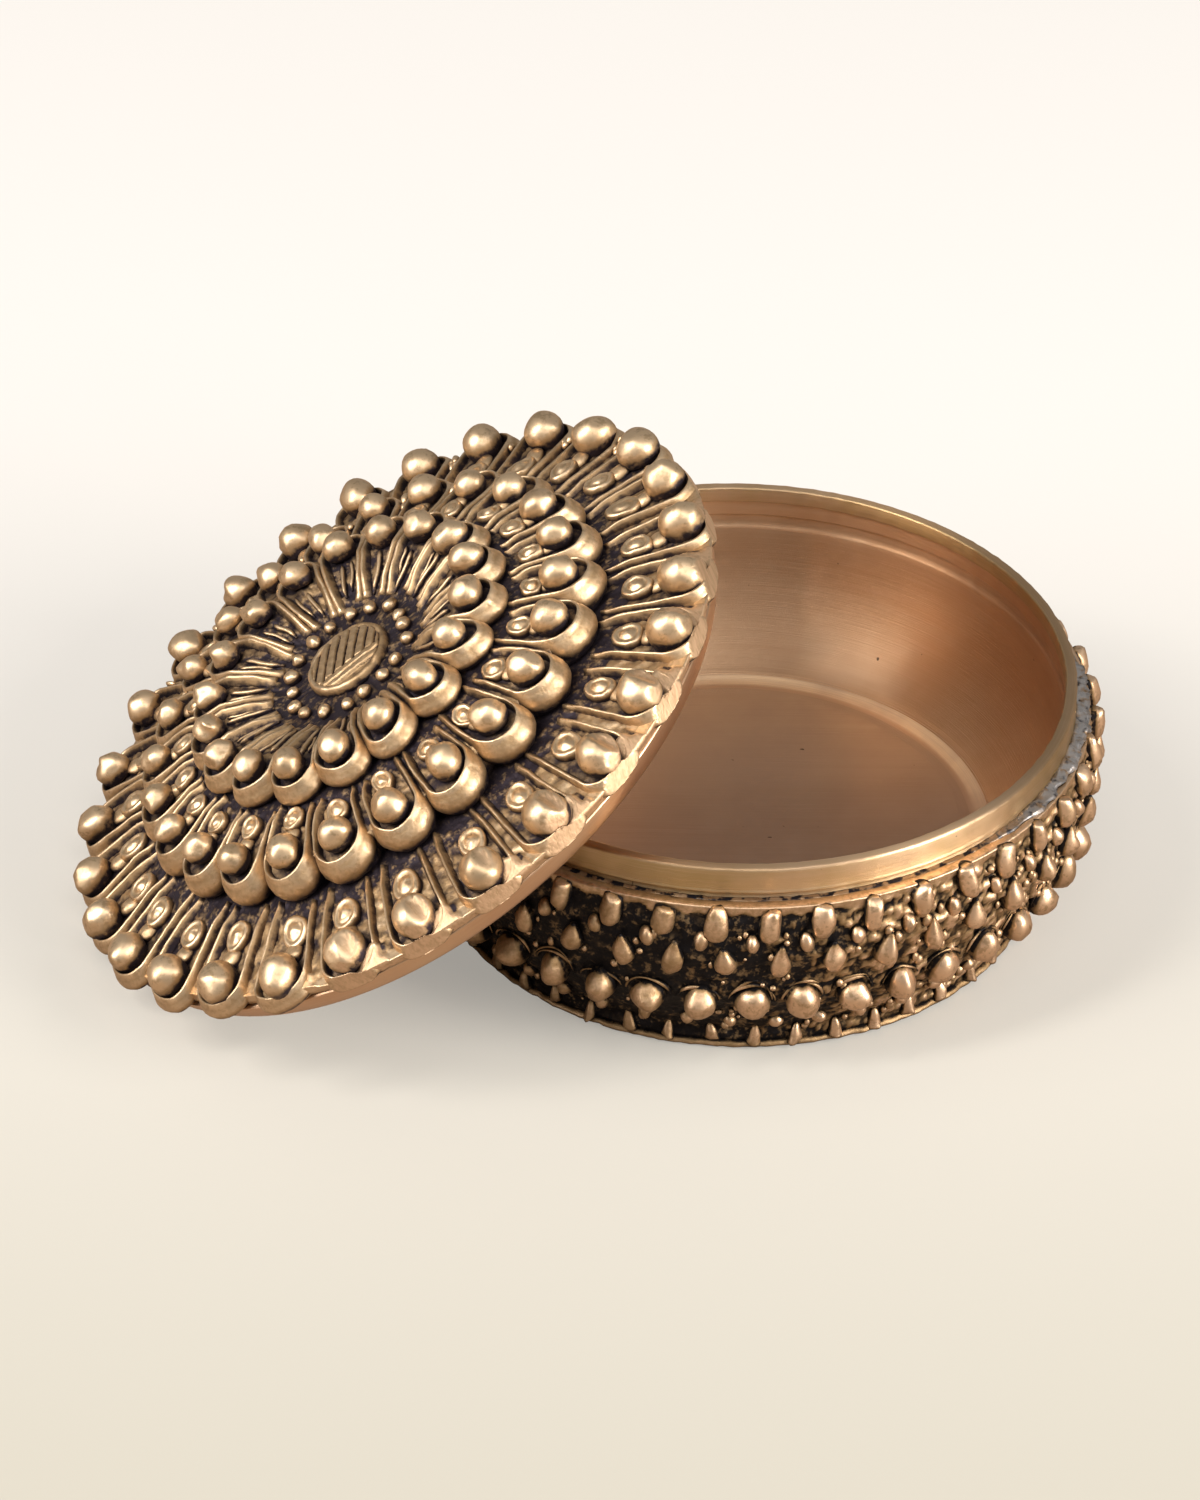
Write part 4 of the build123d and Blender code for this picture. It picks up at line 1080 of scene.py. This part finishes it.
outer_eyes = ring_of_eyes(outer_count, outer_phase, 32.6, 1.5, 1.9, outer_slope, 12, 1.5)
middle_eyes = ring_of_eyes(middle_count, middle_phase, 22.15, 1.25, 1.45, middle_slope, 12, 1.1)
add_piece("outer_eyes", outer_eyes, ["outer_studs"], **lid_cast)
add_piece("middle_eyes", middle_eyes, ["middle_studs"], **lid_cast)


# %% [markdown]
# The legs of the inner petals run on down the slope of the dish as wavy ridges, in pairs, with a dark valley
# between the pairs and often a thinner ridge in it. They follow the slope under them and fade at both ends.

# %% Ridges on the slope of the dish
def slope_ridge(start, end, inner_side, outer_side, thickness, tall):
    """A ridge from one radius to another, at a sideways distance that changes along it, laid on the slope."""
    share, sides = np.linspace(0, 1, 16), 10
    x = start + (end - start) * share
    y = inner_side + (outer_side - inner_side) * share
    y = y + 0.10 * ripple(share, random.uniform(4, 8)) + random.normal(0, 0.08) * share
    z = inner_height(np.hypot(x, y)) + tall * 0.35
    taper = thickness * (0.4 + 0.6 * smooth_step(0, 0.3, share) * smooth_step(1.02, 0.85, share))
    points, faces, values = wire(np.stack([x, y, z], -1), taper, sides)
    base = np.repeat(z, sides)
    points[:, 2] = base + (points[:, 2] - base) * tall / thickness
    values[:, 0] = 0.1 + 0.8 * smooth_step(0.45, 1.0, (points[:, 2] - base) / tall)
    return points, faces, values


ridges = []
for number in range(inner_count):
    azimuth = inner_phase + 360 * number / inner_count
    start, end = random.uniform(9.2, 10.4), random.uniform(13.8, 15.0)
    form = slope_ridge(start, end, 0, 0, random.uniform(0.24, 0.34), 0.4)
    ridges.append(on_ring(form, 0, 0, azimuth + random.normal(0, 1.4)))
    side = random.choice((-1, 1))
    start = random.uniform(9.6, 11.5)
    form = slope_ridge(start, 14.6, side * 0.7, side * 1.3, random.uniform(0.18, 0.26), 0.3)
    ridges.append(on_ring(form, 0, 0, azimuth + random.normal(0, 0.6)))
add_piece("dish_fan_ridges", ridges, ["fan_wires"], **lid_cast)

# %% Grains round the middle
grains, grain_count = [], 18
for number in range(grain_count):
    size = random.uniform(0.68, 0.86)
    form = set_bead(size, size * random.uniform(0.95, 1.2), size, cuts=5, rough=0.08)
    spot = 7.4 + random.normal(0, 0.22)
    grains.append(on_ring(form, spot, 12.3, 360 * number / grain_count + random.normal(0, 1.8)))
add_piece("middle_grains", grains, ["centre_grains"], **lid_cast)


# %% [markdown]
# The medallion in the middle is a thick round boss. Grooves run straight across it and stop at two ridges that lie
# along its lower right side, like the edge of a leaf. A formula lowers the points of a round grid that fall in a
# groove.

# %% Medallion
def medallion_carving(x, y):
    """How high the carved top stands, from 0 in a groove to 1."""
    across = x * math.sin(math.radians(76.5)) - y * math.cos(math.radians(76.5))
    grooves = smooth_step(0.08, 0.36, np.abs((across / 1.2 + 0.5) % 1 - 0.5) * 2)
    border = y + 1.5 - 0.22 * x
    leaf = smooth_step(0.0, 0.3, np.abs((border / 0.95 + 0.5) % 1 - 0.5) * 2)
    return np.where(border > 0, grooves, leaf * (border > -2.1) + 0.5 * (border <= -2.1))


medallion_radius, medallion_foot, medallion_columns = 4.2, 11.9, 128
rings = np.concatenate([np.linspace(0.05, 4.1, 40), [medallion_radius]])
turn = full_turn(medallion_columns)
x, y = rings[:, None] * np.cos(turn), rings[:, None] * np.sin(turn)
carved = medallion_carving(x, y)
swell = 0.14 * (1 - (rings[:, None] / medallion_radius) ** 2)
dents = 0.05 * lumps(np.stack([x, y, x * 0], -1), 1.2, 40)
top = np.stack([x, y, 12.55 + swell + 0.4 * carved + dents], -1)
skirt = top[-1:].copy()
skirt[..., 2] = medallion_foot
plate = loft(np.concatenate([top, skirt]), np.concatenate([0.56 * carved, carved[-1:] * 0 + 0.05]))
add_piece("medallion_face", [plate], ["medallion_plate"], **lid_cast)
bezel_outline = [(4.1, medallion_foot, 0.05), (4.1, 12.75, 0.2), (4.22, 12.95, 0.55), (4.42, 13.04, 0.8),
                 (4.62, 13.0, 0.75), (4.82, 12.82, 0.6), (4.94, 12.5, 0.45), (5.0, 12.1, 0.12),
                 (5.02, medallion_foot, 0.02)]
points, faces, values = spin(bezel_outline, medallion_columns)
points[:, 2] += 0.1 * lumps(points, 1.6, 44) * (values[:, 0] > 0.4)
lower_left = smooth_step(-0.2, 0.8, -points[:, 0] / 5)
points[:, 2] -= 0.2 * (1 - lower_left) * (values[:, 0] > 0.4)
values[:, 0] *= 0.6 + 0.4 * lower_left
add_piece("medallion_rim", [(points, faces, values)], ["medallion_bezel"], **lid_cast)

# %% [markdown]
# Some wax stuck where nobody wanted it. On the upper side of the lid small grains, like rice, lie between the
# beads.

# %% Stray grains on the lid
strays = []
for number in range(34):
    azimuth = random.uniform(20, 150)
    radius = random.choice((37.4, 37.9, 25.9, 26.3))
    if radius > middle_circle + 5:
        count, phase, height = outer_count, outer_phase, float(outer_slope(radius))
    else:
        count, phase, height = middle_count, middle_phase, float(middle_slope(radius))
    form = set_bead(random.uniform(0.3, 0.5), random.uniform(0.45, 0.8), random.uniform(0.4, 0.6), cuts=4)
    form[2][:, 0] *= 0.85
    gap = 360 / count
    place = phase + gap * (round((azimuth - phase) / gap - 0.5) + 0.5)
    strays.append(on_ring(form, radius + random.normal(0, 0.4), height + 0.45, place + random.normal(0, 0.4)))
add_piece("lid_stray_grains", strays, [], **lid_cast)

# %% [markdown]
# Soft solder fills the corner between the collar and the lip. It is dull grey, and it was never cleaned off. On
# the front only a dark line with a few specks of it is left.

# %% Solder
solder, tree, shader = new_material("solder")
place = add_node(tree, "ShaderNodeTexCoord").outputs["Object"]
mottle = noise_node(tree, place, 1100, 4)
bare = math_node(tree, "MULTIPLY", ramp_node(tree, mottle, 0.3, 0.56), attribute_node(tree, "relief"))
dirt = ramp_node(tree, noise_node(tree, place, 950, 2), 0.47, 0.58)
tone = mix_node(tree, dirt, (0.30, 0.20, 0.12), (0.012, 0.012, 0.02))
tone = mix_node(tree, bare, tone, (0.48, 0.46, 0.46))
tree.links.new(tone, shader.inputs["Base Color"])
tree.links.new(ramp_node(tree, mottle, 0.3, 0.8, 0.5, 0.22), shader.inputs["Roughness"])
shader.inputs["Metallic"].default_value = 0.9
add_bump(tree, shader, mottle, 0.8, 0.15)

seam_outline = [(35.9, 22.28, 0.5), (36.45, 22.3, 0.5), (36.5, 22.36, 0.5), (36.3, 22.4, 0.5), (36.05, 22.48, 0.5),
                (35.9, 22.52, 0.5)]
points, faces, values = spin(seam_outline, 360)
angle = azimuth_of(points)
run = smooth_step(46, 16, np.abs(angle + 6 + 5 * lumps(points, 5, 54)))
outer = radius_of(points) - 35.9
points[:, :2] *= (1 + outer * run * (1.7 + 0.7 * lumps(points, 2.2, 50)) / 36)[:, None]
points[:, 2] += run * (0.55 - 0.4 * outer) * (1 + 0.6 * lumps(points, 1.5, 51)) + 0.05 * lumps(points, 1.1, 52)
values[:, 0] = np.clip(run + smooth_step(0.9, 1.4, lumps(points, 1.6, 53)) * 0.5, 0.02, 1)
add_piece("solder_run", [(points, faces, values)], ["solder_seam"], solder, slot="solder")

# %% [markdown]
# The stage is a plain cream floor, a little paler far away. It glows a little for the camera, which keeps the
# shadows faint, and it looks browner where the metal mirrors it, so that the beads stay dark below. Small metal
# things are lit by soft boxes that stand low on both sides, so that every bead shows two patches of light on its
# flanks. A narrow one high on the left draws the bright streak on the cup's wall, and a weak one hangs in front.

# %% Floor
floor_material, tree, shader = new_material("cream floor")
place = add_node(tree, "ShaderNodeTexCoord").outputs["Object"]
depth = add_node(tree, "ShaderNodeSeparateXYZ", {0: place}).outputs["Y"]
tone = mix_node(tree, ramp_node(tree, depth, -0.16, 0.12), (0.313, 0.293, 0.246), (0.455, 0.439, 0.422))
ray = add_node(tree, "ShaderNodeLightPath").outputs
tree.links.new(mix_node(tree, ray["Is Glossy Ray"], tone, (0.30, 0.235, 0.18)), shader.inputs["Base Color"])
tree.links.new(tone, shader.inputs["Emission Color"])
tree.links.new(math_node(tree, "MULTIPLY", ray["Is Camera Ray"], 0.85), shader.inputs["Emission Strength"])
shader.inputs["Roughness"].default_value = 0.9
shader.inputs["Specular IOR Level"].default_value = 0.1
floor_mesh = bpy.data.meshes.new("floor")
floor_mesh.from_pydata([(-3, -3, 0), (3, -3, 0), (3, 3, 0), (-3, 3, 0)], [], [(0, 1, 2, 3)])
floor_mesh.materials.append(floor_material)
floor = bpy.data.objects.new("floor", floor_mesh)
floor.location.z = -0.0002
bpy.context.collection.objects.link(floor)


# %% Lights
def area_light(name, direction, distance, size, light_there, colour):
    """A rectangular soft box in a direction from the box. Its power follows from the light it must give there."""
    back = np.array(direction, float)
    back /= np.linalg.norm(back)
    data = bpy.data.lights.new(name, "AREA")
    data.shape, data.size, data.size_y = "RECTANGLE", size[0], size[1]
    data.energy, data.color = light_there * math.pi * distance ** 2, colour
    light = bpy.data.objects.new(name, data)
    side = np.cross((0, 0, 1.0), back)
    side /= np.linalg.norm(side)
    matrix = np.eye(4)
    matrix[:3, 0], matrix[:3, 1], matrix[:3, 2] = side, np.cross(back, side), back
    matrix[:3, 3] = np.array((-0.015, 0, 0.02)) + back * distance
    light.matrix_world = Matrix(matrix.tolist())
    bpy.context.collection.objects.link(light)


area_light("left box", (-0.86, -0.30, 0.44), 1.2, (0.6, 0.75), 1.9, (1.0, 0.97, 0.93))
area_light("high left box", (-0.68, -0.37, 0.92), 1.2, (0.2, 0.5), 1.4, (1.0, 0.96, 0.90))
area_light("right box", (0.83, -0.46, 0.42), 1.1, (0.45, 0.75), 4.1, (1.0, 0.96, 0.90))
area_light("front box", (0.1, -0.5, 0.85), 1.3, (0.9, 0.7), 0.8, (1.0, 0.97, 0.94))
world = bpy.data.worlds.new("studio")
bpy.context.scene.world = world
world.use_nodes = True
background = world.node_tree.nodes["Background"].inputs
background["Color"].default_value = (0.95, 0.92, 0.87, 1)
background["Strength"].default_value = 0.32
bpy.context.scene.view_settings.view_transform = "Standard"
